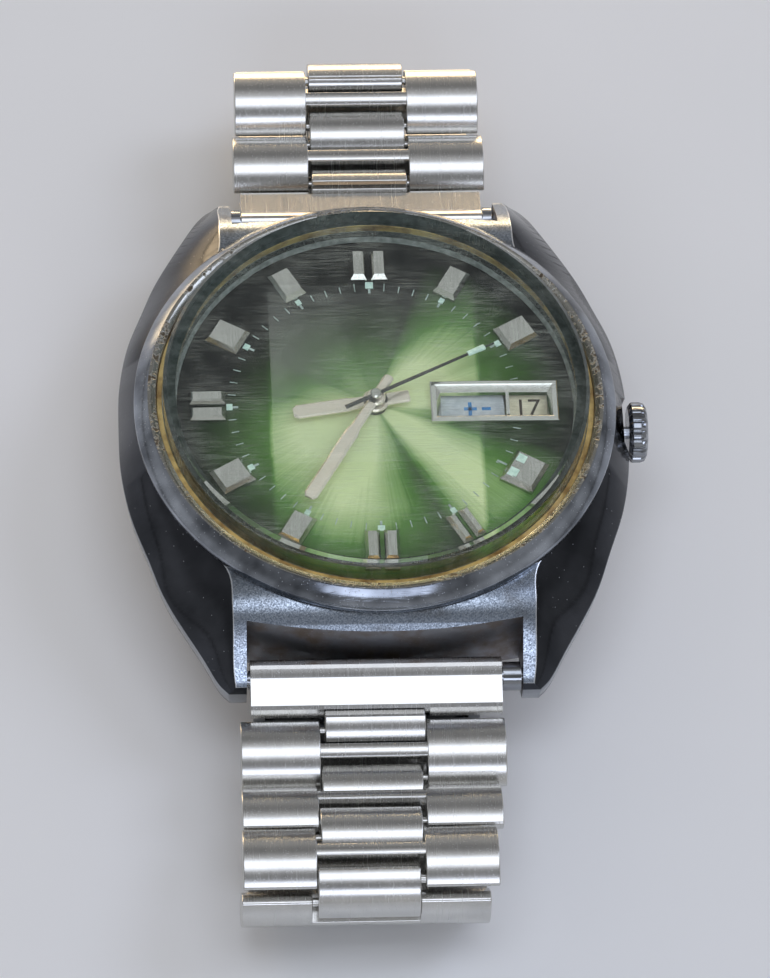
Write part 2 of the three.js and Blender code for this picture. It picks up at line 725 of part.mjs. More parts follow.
// local frame of every strap piece: Y along the strap away from the head, Z outwards
function endPiece() {
  const half = endPieceWidth / 2;
  const reach = endPieceReach;
  const back = circle(endPieceBack, 0, 0, 8, 127, 235);
  const body = crosswise([...back, [0.4, -1.15], [reach - 0.5, -1.15], [reach + 0.4, -0.8],
    [reach + 0.54, -0.2], [reach + 0.35, 0.3], [reach + 0.1, 0.45], [0.3, 1], [-0.3, 1.08]],
  -half, half);
  const barBore = rod(springBarRadius + runGap - 0.05, -half - 1, half + 1, 0, 0, 14);
  const notch = centreLinkWidth / 2 + sideGap;
  const pocket = block(-notch, notch, reach - tabRadius - 0.3, reach + 2, -3,
    tabRadius - endPiecePinDrop + 0.12);
  const pin = rod(pinRadius, -notch - 0.3, notch + 0.3, reach, -endPiecePinDrop, 8);
  return joined(body.subtract(barBore).subtract(pocket), pin);
}

function wideProfile() {
  const end = 0.7; // how far a link reaches past its pins
  const half = [[end, 0.3], [0.42, 0.66], [-0.2, 0.92], [-0.95, linkCrest], [-0.9, -0.85],
    [0.3, -0.52], [end, -0.05]]; // from the far pin
  const [crest, foot] = [half.slice(0, 4), half.slice(4)];
  const far = ([y, z]) => [linkPitchWide + y, z];
  const near = ([y, z]) => [-y, z];
  return [...crest.map(far), ...crest.map(near).reverse(), ...foot.map(near).reverse(),
    ...foot.map(far)];
}

function wideLink(width) {
  const half = width / 2;
  const notch = centreLinkWidth / 2 + sideGap;
  const web = [linkPitchWide / 2 - webHalf, linkPitchWide / 2 + webHalf];
  const body = crosswise(wideProfile(), -half, half);
  const cuts = joined(block(-notch, notch, -2, web[0], -3, 3),
    block(-notch, notch, web[1], linkPitchWide + 2, -3, 3));
  const pins = [0, linkPitchWide].map((y) => rod(pinRadius, -notch - 0.3, notch + 0.3, y, 0, 6));
  return joined(body.subtract(cuts), ...pins);
}

function centreLink(first) {
  const half = centreLinkWidth / 2;
  const length = linkPitchCentre;
  const crest = linkCrest - 0.02;
  const farEnd = [...circle(eyeRadius, length, 0, 6, -90, 8), [length + 0.96, 0.5],
    [length + 0.75, 0.82], [length + 0.35, crest - 0.06]];
  const eyeEnd = [[-0.35, crest - 0.06], [-0.75, 0.82], [-0.96, 0.5],
    ...circle(eyeRadius, 0, 0, 6, 172, 270)];
  const tabEnd = [[0.92, crest - 0.06], [0.8, 0.8], [0.74, tabRadius], [0, tabRadius],
    ...circle(tabRadius, 0, 0, 6, 120, 270)];
  const shape = [...farEnd, [length / 2, crest], ...(first ? tabEnd : eyeEnd)];
  const bores = [first ? tabBore : eyeBore, eyeBore].map((radius, k) => (
    rod(radius, -half - 1, half + 1, k * length, 0, 8)
  ));
  return crosswise(shape, -half, half).subtract(joined(...bores));
}

// walks a strap from its lug and returns each piece's start pin and tilt in the strap's own frame
function strapPath(tilts) {
  const lean = rad(tilts.endPiece);
  let y = springBarReach + endPieceReach * Math.cos(lean) - endPiecePinDrop * Math.sin(lean);
  let z = springBarHeight - endPieceReach * Math.sin(lean) - endPiecePinDrop * Math.cos(lean);
  let before = tilts.endPiece;
  const pieces = [];
  tilts.wide.forEach((tilt, index) => {
    const after = tilt === null ? landingTilt(z, before) : tilt;
    const between = (before + after) / 2;
    for (const [kind, angle, length] of [["centre", between, linkPitchCentre],
      ["wide", after, linkPitchWide]]) {
      pieces.push({ kind, index, y, z, angle });
      y += length * Math.cos(rad(angle));
      z -= length * Math.sin(rad(angle));
    }
    before = after;
  });
  return { pieces, endY: y, endZ: z };
}

// the tilt of the last link of the turn that brings the next flat link down onto the table
function landingTilt(height, before) {
  let [low, high] = [90, 180];
  for (let k = 0; k < 40; k++) {
    const tilt = (low + high) / 2;
    const drop = linkPitchCentre * (Math.sin(rad((before + tilt) / 2)) + Math.sin(rad((tilt + 180) / 2)))
      + linkPitchWide * Math.sin(rad(tilt));
    if (height - drop < linkCrest) low = tilt;
    else high = tilt;
  }
  return (low + high) / 2;
}

function placed(name, body, material, parent, [x, y, z], angle) {
  const mesh = put(name, body, material, parent);
  mesh.position.set(x, y, z);
  mesh.rotation.x = -rad(angle);
}

function strap(side, tilts, lie) {
  const half = new THREE.Group();
  half.rotation.z = side === "6" ? Math.PI : 0;
  model.add(half);
  const shift = valueAt(lie, 0);
  const lug = [springBarReach, springBarHeight];
  placed(`spring_bar_${side}`, springBar(shift), polished, half, [0, ...lug], 0);
  placed(`end_piece_${side}`, endPiece(), brushed, half, [shift, ...lug], tilts.endPiece);
  const path = strapPath(tilts);
  path.pieces.forEach(({ kind, index, y, z, angle }, k) => {
    const body = kind === "centre" ? centreLink(index === 0) : wideLink(firstLinkWidth - linkTaper * index);
    placed(`${kind}_link_${side}_${index + 1}`, body, brushed, half, [valueAt(lie, k + 1), y, z], angle);
  });
  return path;
}

// ---- clasp ----
// a cover over two blades folded in a Z, between the straps' last pins
function clasp(nearPin, farPin, level, shift) {
  const half = claspWidth / 2;
  const tongue = centreLinkWidth / 2 - 0.05;
  const coverFrom = nearPin + 2.3;
  const coverTo = farPin - 3.2;
  const coverHinge = [coverTo - 0.95, coverHingeLevel];
  const foldHinge = [coverFrom + 1.3, foldLevel];
  const bladeTop = bladeLevel + bladeSheet;
  const bladeHalf = bladeWidth / 2;

  const cover = joined(
    block(-half, half, coverFrom, coverTo, 0, claspSheet),
    block(-half, -half + claspSheet, coverFrom, coverTo, 0, claspHeight),
    block(half - claspSheet, half, coverFrom, coverTo, 0, claspHeight),
    block(-tongue, tongue, nearPin + pinRadius + 0.5, coverFrom + 0.5, 0.3, 1.6),
    rod(pinRadius, -half + 0.4, half - 0.4, ...coverHinge, 8),
  );

  const knuckle = [3.6, bladeHalf - 0.2];
  const outerBlade = joined(
    block(-bladeHalf, bladeHalf, foldHinge[0] + 1.3, coverHinge[0] - 0.4, bladeLevel, bladeTop),
    block(-knuckle[0], knuckle[0], foldHinge[0], foldHinge[0] + 1.5, bladeLevel, bladeTop),
    rod(0.8, -knuckle[0], knuckle[0], ...foldHinge, 14),
    rod(pinRadius, -knuckle[1], knuckle[1], ...foldHinge, 8),
    rod(0.75, -bladeHalf, bladeHalf, ...coverHinge, 14),
  ).subtract(rod(eyeBore, -bladeHalf - 1, bladeHalf + 1, ...coverHinge, 12));

  const roof = claspHeight - 0.1;
  const eyes = [-1, 1].map((side) => {
    const span = [(knuckle[0] + 0.25) * side, knuckle[1] * side].sort((a, b) => a - b);
    return rod(0.85, span[0], span[1], ...foldHinge, 14);
  });
  const arm = crosswise([[farPin - 3.4, roof - bladeSheet], [farPin - 2.9, roof - bladeSheet],
    [farPin - 0.85, level - 0.3], [farPin, level + 0.9], [farPin - 0.7, level + 0.9],
    [farPin - 2.3, roof], [farPin - 3.4, roof]], -tongue, tongue);
  const innerBlade = joined(
    block(-bladeHalf, bladeHalf, foldHinge[0] + 0.1, farPin - 3.2, roof - bladeSheet, roof),
    ...eyes, arm, rod(eyeRadius, -tongue, tongue, farPin, level, 14),
  ).subtract(joined(
    rod(eyeBore, -tongue - 1, tongue + 1, farPin, level, 12),
    rod(eyeBore, -bladeHalf - 1, bladeHalf + 1, ...foldHinge, 12),
    block(-knuckle[0] - 0.2, knuckle[0] + 0.2, foldHinge[0] - 1, foldHinge[0] + 1.2, 0, roof + 1),
  ));

  put("clasp_cover", cover, polished).position.x = shift;
  put("clasp_outer_blade", outerBlade, brushed).position.x = shift;
  put("clasp_inner_blade", innerBlade, brushed).position.x = shift;
}

// ---- assembly ----
put("case_body", caseBody(), polished);
put("bezel", bezel(), polished);
put("crystal", crystal(), glass);
put("crystal_gasket", crystalGasket(), yellowed);
put("dial", dial(), dialGreen);
put("window_frame", windowFrame(), handSteel);
put("hour_hand", hourHand(), handSteel);
put("minute_hand", minuteHand(), handSteel);
put("second_hand", secondHand(), handSteel);
put("date_ring", dateRing(), cream);
put("day_disc", dayDisc(), paleGrey);
put("main_plate", mainPlate(), nickel);
put("mainspring_barrel", barrel(), brass);
put("centre_wheel", centreWheel(), brass);
put("third_wheel", thirdWheel(), brass);
put("fourth_wheel", fourthWheel(), brass);
put("escape_wheel", escapeWheel(), nickel);
put("pallet_fork", palletFork(), ruby);
put("balance_wheel", balanceWheel(), brass);
put("train_bridge", trainBridge(), nickel);
put("rotor", rotor(), nickel);
put("case_back", caseBack(), brushed);
put("crown", crown(), polished);
put("winding_stem", stem(), polished);
put("clutch_pinion", clutchPinion(), nickel);

const near = strap("6", nearTilts, nearLie);
const far = strap("12", farTilts, farLie);
clasp(-near.endY, far.endY, linkCrest, valueAt(farLie, 14));

export default model;
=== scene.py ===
import json
import math
import bmesh
import bpy
from mathutils import Matrix, Vector


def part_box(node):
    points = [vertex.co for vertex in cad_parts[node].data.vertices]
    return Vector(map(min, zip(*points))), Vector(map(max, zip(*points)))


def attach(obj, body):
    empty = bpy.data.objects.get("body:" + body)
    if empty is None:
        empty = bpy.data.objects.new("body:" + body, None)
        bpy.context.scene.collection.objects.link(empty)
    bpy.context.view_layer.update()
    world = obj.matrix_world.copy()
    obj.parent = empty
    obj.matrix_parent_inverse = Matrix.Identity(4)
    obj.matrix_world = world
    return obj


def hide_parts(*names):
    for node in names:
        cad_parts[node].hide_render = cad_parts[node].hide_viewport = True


# A steel day-date wristwatch on a folded link bracelet, lying closed on a pale table.
# The frame is the CAD model in metres: X to 3 o'clock, Y to 12 o'clock, Z up. Shape sizes are in mm.

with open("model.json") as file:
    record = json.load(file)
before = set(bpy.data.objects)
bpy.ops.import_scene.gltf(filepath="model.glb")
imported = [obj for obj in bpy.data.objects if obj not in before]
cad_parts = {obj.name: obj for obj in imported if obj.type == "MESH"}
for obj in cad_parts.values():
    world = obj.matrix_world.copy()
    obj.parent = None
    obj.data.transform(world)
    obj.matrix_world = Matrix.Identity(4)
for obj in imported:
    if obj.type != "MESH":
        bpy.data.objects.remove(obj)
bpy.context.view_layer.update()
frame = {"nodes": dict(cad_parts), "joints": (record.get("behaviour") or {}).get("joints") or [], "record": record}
mm = 0.001
joints = {joint["name"]: joint for joint in frame["joints"]}
slotOfNode = {part["node"]: part["material_slot"] for part in frame["record"]["subparts"]}
bodyOfNode = {node: body for body, nodes in frame["record"]["behaviour"]["bodies"].items() for node in nodes}
print("frame loaded:", len(frame["nodes"]), "nodes")


def linear(hexText, alpha=1.0):  # sRGB hex to linear colour
    parts = [int(hexText[k:k + 2], 16) / 255 for k in (1, 3, 5)]
    return (*[c / 12.92 if c <= 0.04045 else ((c + 0.055) / 1.055) ** 2.4 for c in parts], alpha)


def addNode(tree, kind, settings=None):  # settings name attributes or inputs; a node or socket is joined
    node = tree.nodes.new("ShaderNode" + kind)
    for key, value in (settings or {}).items():
        if isinstance(value, bpy.types.Node):
            value = next(out for out in value.outputs if out.enabled)
        if isinstance(value, bpy.types.NodeSocket):
            tree.links.new(value, node.inputs[key])
        elif isinstance(key, int) or key in node.inputs:
            node.inputs[key].default_value = value
        else:
            setattr(node, key, value)
    return node


def newMaterial(name):  # an empty material, its node tree, and the place on the piece for its patterns
    material = bpy.data.materials.new(name)
    material.use_nodes = True
    tree = material.node_tree
    tree.nodes.clear()
    return material, tree, addNode(tree, "TexCoord").outputs["Object"]


def perSize(x, y=None, z=None):  # noise scale for features of these sizes in mm
    return [1 / (size * mm) for size in (x, y or x, z or x)]


def noiseAt(tree, place, size, detail=2.0, turn=0.0, offset=0.0):  # noise with features of a size in mm
    mapping = addNode(tree, "Mapping", {"Vector": place, "Scale": size, "Rotation": (0, 0, turn),
                                        "Location": (offset, offset * 0.7, 0)})
    return addNode(tree, "TexNoise", {"Vector": mapping, "Scale": 1.0, "Detail": detail, "Roughness": 0.55})


def meshObject(name, bm, materials, smoothAngle=32):
    mesh = bpy.data.meshes.new(name)
    bm.normal_update()
    bm.to_mesh(mesh)
    bm.free()
    for material in materials:
        mesh.materials.append(material)
    mesh.shade_smooth()
    mesh.set_sharp_from_angle(angle=math.radians(smoothAngle))
    piece = bpy.data.objects.new(name, mesh)
    bpy.context.collection.objects.link(piece)
    return piece


def softenEdges(piece, width, segments=3, angle=34):  # a worn edge of a width in mm
    bevel = piece.modifiers.new("wornEdge", "BEVEL")
    bevel.width = width * mm
    bevel.segments = segments
    bevel.limit_method = "ANGLE"
    bevel.angle_limit = math.radians(angle)
    bevel.harden_normals = True
    bevel.use_clamp_overlap = True
    return piece


def finishPiece(piece, node, standsFor=True):  # ride and stand-in for one CAD node
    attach(piece, bodyOfNode[node])
    if standsFor:
        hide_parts(node)
    return piece


def bakeModifiers(piece):  # the mesh as its modifiers leave it
    graph = bpy.context.evaluated_depsgraph_get()
    made = bpy.data.meshes.new_from_object(piece.evaluated_get(graph))
    piece.modifiers.clear()
    piece.data = made
    return piece


def cutAway(piece, cutters):  # the cutters' shapes come off the piece
    for cutter in cutters:
        cut = piece.modifiers.new("cut", "BOOLEAN")
        cut.object = cutter
        cut.operation = "DIFFERENCE"
        cut.solver = "EXACT"
    bakeModifiers(piece)
    for cutter in cutters:
        bpy.data.objects.remove(cutter)
    return piece


def closedLathe(profile, segments=160, slots=None):  # a closed [radius, height] profile in mm, spun about Z
    bm = bmesh.new()
    rings = []
    for k in range(segments):
        a = 2 * math.pi * k / segments
        rings.append([bm.verts.new((r * mm * math.cos(a), r * mm * math.sin(a), z * mm)) for r,
                      z in profile])
    for k in range(segments):
        here, after = rings[k], rings[(k + 1) % segments]
        for i in range(len(profile)):
            n = (i + 1) % len(profile)
            if profile[i][0] < 1e-6 and profile[n][0] < 1e-6:
                continue
            bm.faces.new((here[i], after[i], after[n], here[n])).material_index = slots[i] if slots else 0
    bmesh.ops.remove_doubles(bm, verts=bm.verts, dist=1e-8)
    bmesh.ops.recalc_face_normals(bm, faces=bm.faces)
    return bm


def pointsAt(bm, points):  # new points, given in mm
    return [bm.verts.new((x * mm, y * mm, z * mm)) for x, y, z in points]


def joinRings(bm, rings):  # quads between each ring of points and the next
    for low, up in zip(rings, rings[1:]):
        for k in range(len(low)):
            n = (k + 1) % len(low)
            bm.faces.new((low[k], low[n], up[n], up[k]))
    bmesh.ops.recalc_face_normals(bm, faces=bm.faces)
    return bm


def ringProfile(inner, outer, low, high):  # a flat ring's [radius, height] profile
    return [(inner, low), (outer, low), (outer, high), (inner, high)]


def acrossX(profile, left, right):  # a [y, z] outline in mm run along X, ends closed
    bm = bmesh.new()
    ends = [pointsAt(bm, [(x, y, z) for y, z in profile]) for x in (left, right)]
    bm.faces.new(ends[0])
    bm.faces.new(reversed(ends[1]))
    return joinRings(bm, ends)


def upFromXY(outline, low, high):  # an [x, y] outline in mm standing between two heights
    bm = bmesh.new()
    rings = [pointsAt(bm, [(x, y, z) for x, y in outline]) for z in (low, high)]
    bm.faces.new(reversed(rings[0]))
    bm.faces.new(rings[1])
    return joinRings(bm, rings)


def boxMesh(x0, x1, y0, y1, z0, z1):
    return upFromXY([(x0, y0), (x1, y0), (x1, y1), (x0, y1)], z0, z1)


def addTo(bm, other):  # the other mesh's faces join this one
    copy = bpy.data.meshes.new("part")
    other.to_mesh(copy)
    other.free()
    bm.from_mesh(copy)
    bpy.data.meshes.remove(copy)
    return bm


def arcPoints(cy, cz, radius, start, end, count):  # degrees, both ends included
    steps = [math.radians(start + (end - start) * k / (count - 1)) for k in range(count)]
    return [(cy + radius * math.cos(a), cz + radius * math.sin(a)) for a in steps]


def nodeSize(node):  # low and high corner of a CAD node in mm
    low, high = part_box(node)
    return low / mm, high / mm


cameraView = {  # how the watch is looked at, in degrees and mm
    "azimuth": -6.084, "elevation": 56.797, "roll": 4.26,
    "distance": 429.14, "target": (0.376, -7.037, 12.2), "lens": 228.3,
}


def placeCamera(look):
    a, e, r = [math.radians(look[key]) for key in ("azimuth", "elevation", "roll")]
    back = Vector((math.sin(a) * math.cos(e), -math.cos(a) * math.cos(e), math.sin(e)))
    right = Vector((math.cos(a), math.sin(a), 0))
    up = back.cross(right)
    side = right * math.cos(r) + up * math.sin(r)
    top = up * math.cos(r) - right * math.sin(r)
    camera = bpy.data.objects.new("camera", bpy.data.cameras.new("camera"))
    camera.data.lens = look["lens"]
    camera.data.sensor_width = 36
    camera.data.clip_start, camera.data.clip_end = 0.01, 20
    place = (Vector(look["target"]) + back * look["distance"]) * mm
    camera.matrix_world = Matrix((side, top, back)).transposed().to_4x4()
    camera.matrix_world.translation = place
    bpy.context.collection.objects.link(camera)
    bpy.context.scene.camera = camera


placeCamera(cameraView)
scene = bpy.context.scene
scene.view_settings.view_transform = "Standard"


studio = {  # softboxes: colour, power, size, azimuth clockwise from +Y, elevation, distance in metres
    "floorHex": "#F1F2F2", "floorPaleHex": "#F6F6F6", "floorReach": 0.26, "floorRoughness": 0.22,
    "backdropHex": "#C7CCD4",
    "softboxes": {
        "lowSoftbox": ("#E3EBFF", 0.8, (0.5, 0.18), 180, 33, 0.7),
        "overheadSoftbox": ("#E6EEFF", 0.95, (0.55, 0.3), 180, 84, 0.7),
        "lowWindow": ("#FFDDAA", 3.6, (0.9, 0.19), -8, 8, 0.75),
        "sideSoftbox": ("#DCE6FF", 0.7, (0.25, 0.25), 75, 48, 0.7),
    },
    "stops": [  # the world's light from straight down, 0, to straight up, 1
        (0.0, 0.3), (0.49, 0.2), (0.51, 0.5), (0.6, 0.5), (0.66, 0.3), (0.78, 0.36), (0.88, 0.2),
        (0.92, 0.18), (0.95, 0.26), (0.975, 0.5), (1.0, 0.55)],
}


def glossyTable():  # a pale lacquered table: even colour, soft mirror
    material, tree, place = newMaterial("paleLacqueredTable")
    cloud = noiseAt(tree, place, perSize(60), 3.0)
    share = addNode(tree, "MapRange", {0: cloud, 1: 0.35, 2: 0.65})
    colour = addNode(tree, "Mix", {"data_type": "RGBA", 0: share, 6: linear(studio["floorHex"]),
                                   7: linear(studio["floorPaleHex"])})
    shader = addNode(tree, "BsdfPrincipled", {"Base Color": colour, "Roughness": studio["floorRoughness"],
                                              "IOR": 1.4, "Specular IOR Level": 0.4})
    addNode(tree, "OutputMaterial", {"Surface": shader})
    return material


def buildFloor():
    reach = studio["floorReach"] / mm
    meshObject("floor", boxMesh(-reach, reach, -reach, reach, -4, 0), [glossyTable()])


def softbox(name, hexColour, power, size, azimuth, elevation, distance):
    light = bpy.data.lights.new(name, "AREA")
    light.shape = "RECTANGLE"
    light.size, light.size_y = size
    light.color = linear(hexColour)[:3]
    light.energy = power
    lamp = bpy.data.objects.new(name, light)
    a, e = math.radians(azimuth), math.radians(elevation)
    toLight = Vector((math.sin(a) * math.cos(e), math.cos(a) * math.cos(e), math.sin(e)))
    lamp.location = toLight * distance
    lamp.rotation_mode = "QUATERNION"
    lamp.rotation_quaternion = toLight.to_track_quat("Z", "Y")
    lamp.visible_camera = False
    bpy.context.collection.objects.link(lamp)


def buildWorld():  # even pale backdrop to the camera, a studio with dark flags to everything else
    world = bpy.data.worlds.new("studio")
    scene.world = world
    world.use_nodes = True
    tree = world.node_tree
    tree.nodes.clear()
    direction = addNode(tree, "TexCoord").outputs["Generated"]
    height = addNode(tree, "SeparateXYZ", {0: direction}).outputs["Z"]
    rise = addNode(tree, "MapRange", {0: height, 1: -1, 2: 1})
    ramp = addNode(tree, "ValToRGB", {0: rise})
    stops = studio["stops"]
    elements = ramp.color_ramp.elements
    elements[0].position, elements[1].position = stops[0][0], stops[-1][0]
    for position, level in stops[1:-1]:
        elements.new(position)
    for element, (position, level) in zip(elements, stops):
        element.position = position
        element.color = (level * 0.99, level, level * 1.03, 1)
    studioLight = addNode(tree, "Background", {"Color": ramp, "Strength": 1.0})
    backdrop = addNode(tree, "Background", {"Color": linear(studio["backdropHex"]), "Strength": 1.0})
    path = addNode(tree, "LightPath").outputs
    seen = addNode(tree, "Math", {"operation": "MAXIMUM", 0: path["Is Camera Ray"],
                                  1: path["Is Transmission Ray"]})
    mix = addNode(tree, "MixShader", {0: seen, 1: studioLight, 2: backdrop})
    addNode(tree, "OutputWorld", {"Surface": mix})


buildFloor()
buildWorld()
for boxName, boxValues in studio["softboxes"].items():
    softbox(boxName, *boxValues)
print("studio built")


def coatSurface(tree, colour, roughness, relief, depth, settings=None):  # depth of the relief in mm
    bump = addNode(tree, "Bump", {"Height": relief, "Strength": 1.0, "Distance": depth * mm})
    shader = addNode(tree, "BsdfPrincipled", {"Metallic": 1.0, "Base Color": colour, "Roughness": roughness,
                                              "Normal": bump, **(settings or {})})
    addNode(tree, "OutputMaterial", {"Surface": shader})


def specks(tree, place, size, amount, seed=0.0):  # scattered small dots, 1 inside a dot
    mapping = addNode(tree, "Mapping", {"Vector": place, "Scale": perSize(size), "Location": (seed,) * 3})
    cells = addNode(tree, "TexVoronoi", {"Vector": mapping, "Scale": 1.0})
    draw = addNode(tree, "SeparateColor", {0: cells.outputs["Color"]})
    chosen = addNode(tree, "Math", {"operation": "GREATER_THAN", 0: draw, 1: 1 - amount})
    dot = addNode(tree, "MapRange", {0: cells.outputs["Distance"], 1: 0.22, 2: 0.34, 3: 1.0, 4: 0.0})
    return addNode(tree, "Math", {"operation": "MULTIPLY", 0: chosen, 1: dot})


def scratches(tree, place, length, width, threshold, turns, seed):  # short fine lines in several directions
    total = None
    for k, turn in enumerate(turns):
        line = noiseAt(tree, place, perSize(length, width, length), 1.0, math.radians(turn), seed + 3.1 * k)
        mark = addNode(tree, "MapRange", {0: line, 1: threshold, 2: threshold + 0.05})
        total = mark if total is None else addNode(tree, "Math", {"operation": "MAXIMUM", 0: total, 1: mark})
    return total


def twoTone(tree, pattern, low, high, first, second, most=1.0):  # second colour where the pattern is high
    share = addNode(tree, "MapRange", {0: pattern, 1: low, 2: high, 4: most})
    return addNode(tree, "Mix", {"data_type": "RGBA", 0: share, 6: first, 7: second})


def dusted(tree, colour, dust, strength, dustHex):  # points of dust over a colour
    share = addNode(tree, "Math", {"operation": "MULTIPLY", 0: dust, 1: strength})
    return addNode(tree, "Mix", {"data_type": "RGBA", 0: share, 6: colour, 7: linear(dustHex)})


def satinStrapSteel():  # stainless sheet brushed along the strap: soft bands, fine grain, stray specks
    material, tree, place = newMaterial("satinStainlessStrap")
    grain = noiseAt(tree, place, perSize(0.07, 5.0, 5.0), 3.0)
    patch = noiseAt(tree, place, perSize(1.6, 2.4, 1.6), 3.0)
    dust = specks(tree, place, 0.08, 0.1)
    colour = twoTone(tree, patch, 0.4, 0.8, linear("#D2D1CD"), linear("#B3B3B3"), 0.35)
    colour = dusted(tree, colour, dust, 0.35, "#E9EEF4")
    brushed = addNode(tree, "MapRange", {0: grain, 1: 0.3, 2: 0.7, 3: 0.2, 4: 0.28})
    rough = addNode(tree, "Math", {"operation": "MULTIPLY_ADD", 0: dust, 1: 0.15, 2: brushed})
    coatSurface(tree, colour, rough, grain, 0.0004)
    return material


def mirrorSteel(name, light, dark, dustShare=0.012):  # buffed steel: a deep mirror with hairlines and dust
    material, tree, place = newMaterial(name)
    dust = specks(tree, place, 0.13, dustShare, 2.0)
    hairlines = scratches(tree, place, 2.2, 0.05, 0.66, (20, 75, 130), 4.0)
    cloud = noiseAt(tree, place, perSize(4.0), 3.0)
    colour = twoTone(tree, cloud, 0.35, 0.7, linear(light), linear(dark))
    colour = dusted(tree, colour, dust, 0.5, "#D4D8DC")
    buffed = addNode(tree, "Math", {"operation": "MULTIPLY_ADD", 0: hairlines, 1: 0.12, 2: 0.12})
    rough = addNode(tree, "Math", {"operation": "MULTIPLY_ADD", 0: dust, 1: 0.45, 2: buffed})
    coatSurface(tree, colour, rough, hairlines, 0.0008)
    return material


def brushedLugSteel():  # blasted and brushed lug tops: frosty bluish grey with a grain of bright points
    material, tree, place = newMaterial("frostedLugSteel")
    grit = noiseAt(tree, place, perSize(0.12), 2.0)
    cloud = noiseAt(tree, place, perSize(1.8), 3.0, offset=5.0)
    colour = twoTone(tree, grit, 0.35, 0.68, linear("#6E7782"), linear("#BCC6D2"))
    colour = twoTone(tree, cloud, 0.52, 0.75, colour, linear("#5C5A58"), 0.6)
    rough = addNode(tree, "MapRange", {0: grit, 1: 0.3, 2: 0.7, 3: 0.34, 4: 0.22})
    coatSurface(tree, colour, rough, grit, 0.003)
    return material


def pittedSteel():  # narrow bezel ridge where plating is eaten by sweat: dark pits, brown edges
    material, tree, place = newMaterial("pittedBezelSteel")
    pits = noiseAt(tree, place, perSize(0.34), 3.0)
    cloud = noiseAt(tree, place, perSize(1.4), 3.0, offset=2.0)
    eaten = addNode(tree, "Math", {"operation": "MULTIPLY_ADD", 0: cloud, 1: 0.9, 2: pits})
    mask = addNode(tree, "MapRange", {0: eaten, 1: 1.02, 2: 1.16})
    colour = addNode(tree, "Mix", {"data_type": "RGBA", 0: mask, 6: linear("#BDBCB4"), 7: linear("#54493A")})
    rough = addNode(tree, "MapRange", {0: mask, 3: 0.22, 4: 0.75})
    metal = addNode(tree, "MapRange", {0: mask, 3: 1.0, 4: 0.35})
    coatSurface(tree, colour, rough, mask, -0.02, {"Metallic": metal})
    return material


def darkWallSteel():  # wall between the lugs, never polished and full of old dirt
    material, tree, place = newMaterial("grimyCaseWall")
    cloud = noiseAt(tree, place, perSize(1.5), 4.0)
    dust = specks(tree, place, 0.2, 0.12, 8.0)
    colour = twoTone(tree, cloud, 0.4, 0.7, linear("#94959A"), linear("#80746B"))
    rough = addNode(tree, "MapRange", {0: cloud, 1: 0.3, 2: 0.7, 3: 0.28, 4: 0.5})
    coatSurface(tree, dusted(tree, colour, dust, 0.5, "#B8B4AC"), rough, cloud, 0.004)
    return material


def rhodiumPlate():  # hands: bright warm mirror
    material, tree, place = newMaterial("polishedRhodiumPlate")
    haze = noiseAt(tree, place, perSize(0.3), 2.0)
    dust = specks(tree, place, 0.12, 0.2, 6.0)
    colour = addNode(tree, "Mix", {"data_type": "RGBA", 0: haze, 6: linear("#F2E8DA"), 7: linear("#DDD2C2")})
    rough = addNode(tree, "MapRange", {0: haze, 1: 0.3, 2: 0.7, 3: 0.12, 4: 0.24})
    coatSurface(tree, dusted(tree, colour, dust, 0.3, "#7A6F60"), rough, haze, 0.0005, {"Metallic": 0.6})
    return material


def platedMetal(name, light, dark, roughness, grainDepth=0.001):  # satin movement plate or gilt brass wheel
    material, tree, place = newMaterial(name)
    grain = noiseAt(tree, place, perSize(0.08, 1.5, 0.08), 2.0)
    colour = addNode(tree, "Mix", {"data_type": "RGBA", 0: grain, 6: linear(light), 7: linear(dark)})
    rough = addNode(tree, "MapRange", {0: grain, 1: 0.3, 2: 0.7, 3: roughness - 0.04, 4: roughness + 0.06})
    coatSurface(tree, colour, rough, grain, grainDepth)
    return material


def plainPaint(name, light, dark, roughness, size=0.5):  # enamel, ink or lume print with a little tooth
    material, tree, place = newMaterial(name)
    tooth = noiseAt(tree, place, perSize(size), 2.0)
    colour = twoTone(tree, tooth, 0.35, 0.65, linear(light), linear(dark))
    coatSurface(tree, colour, roughness, tooth, 0.002, {"Metallic": 0.0})
    return material


def agedGasket():  # acrylic tension ring gone amber, glossy, with brown grime at its edges
    material, tree, place = newMaterial("amberAcrylicGasket")
    cloud = noiseAt(tree, place, perSize(1.2), 4.0)
    colour = twoTone(tree, cloud, 0.38, 0.7, linear("#D2B878"), linear("#7A5A30"))
    coatSurface(tree, colour, 0.3, cloud, 0.004, {"Metallic": 0.25, "Coat Weight": 0.6})
    return material


crystalShape = {"radius": 14.85, "bowl": 13.95, "low": 12.2, "inside": 13.7, "top": 15.3, "chamfer": 0.55,
                "tableX": 7.3, "tableLow": 6.1, "tableHigh": 8.0, "drop": 0.32}


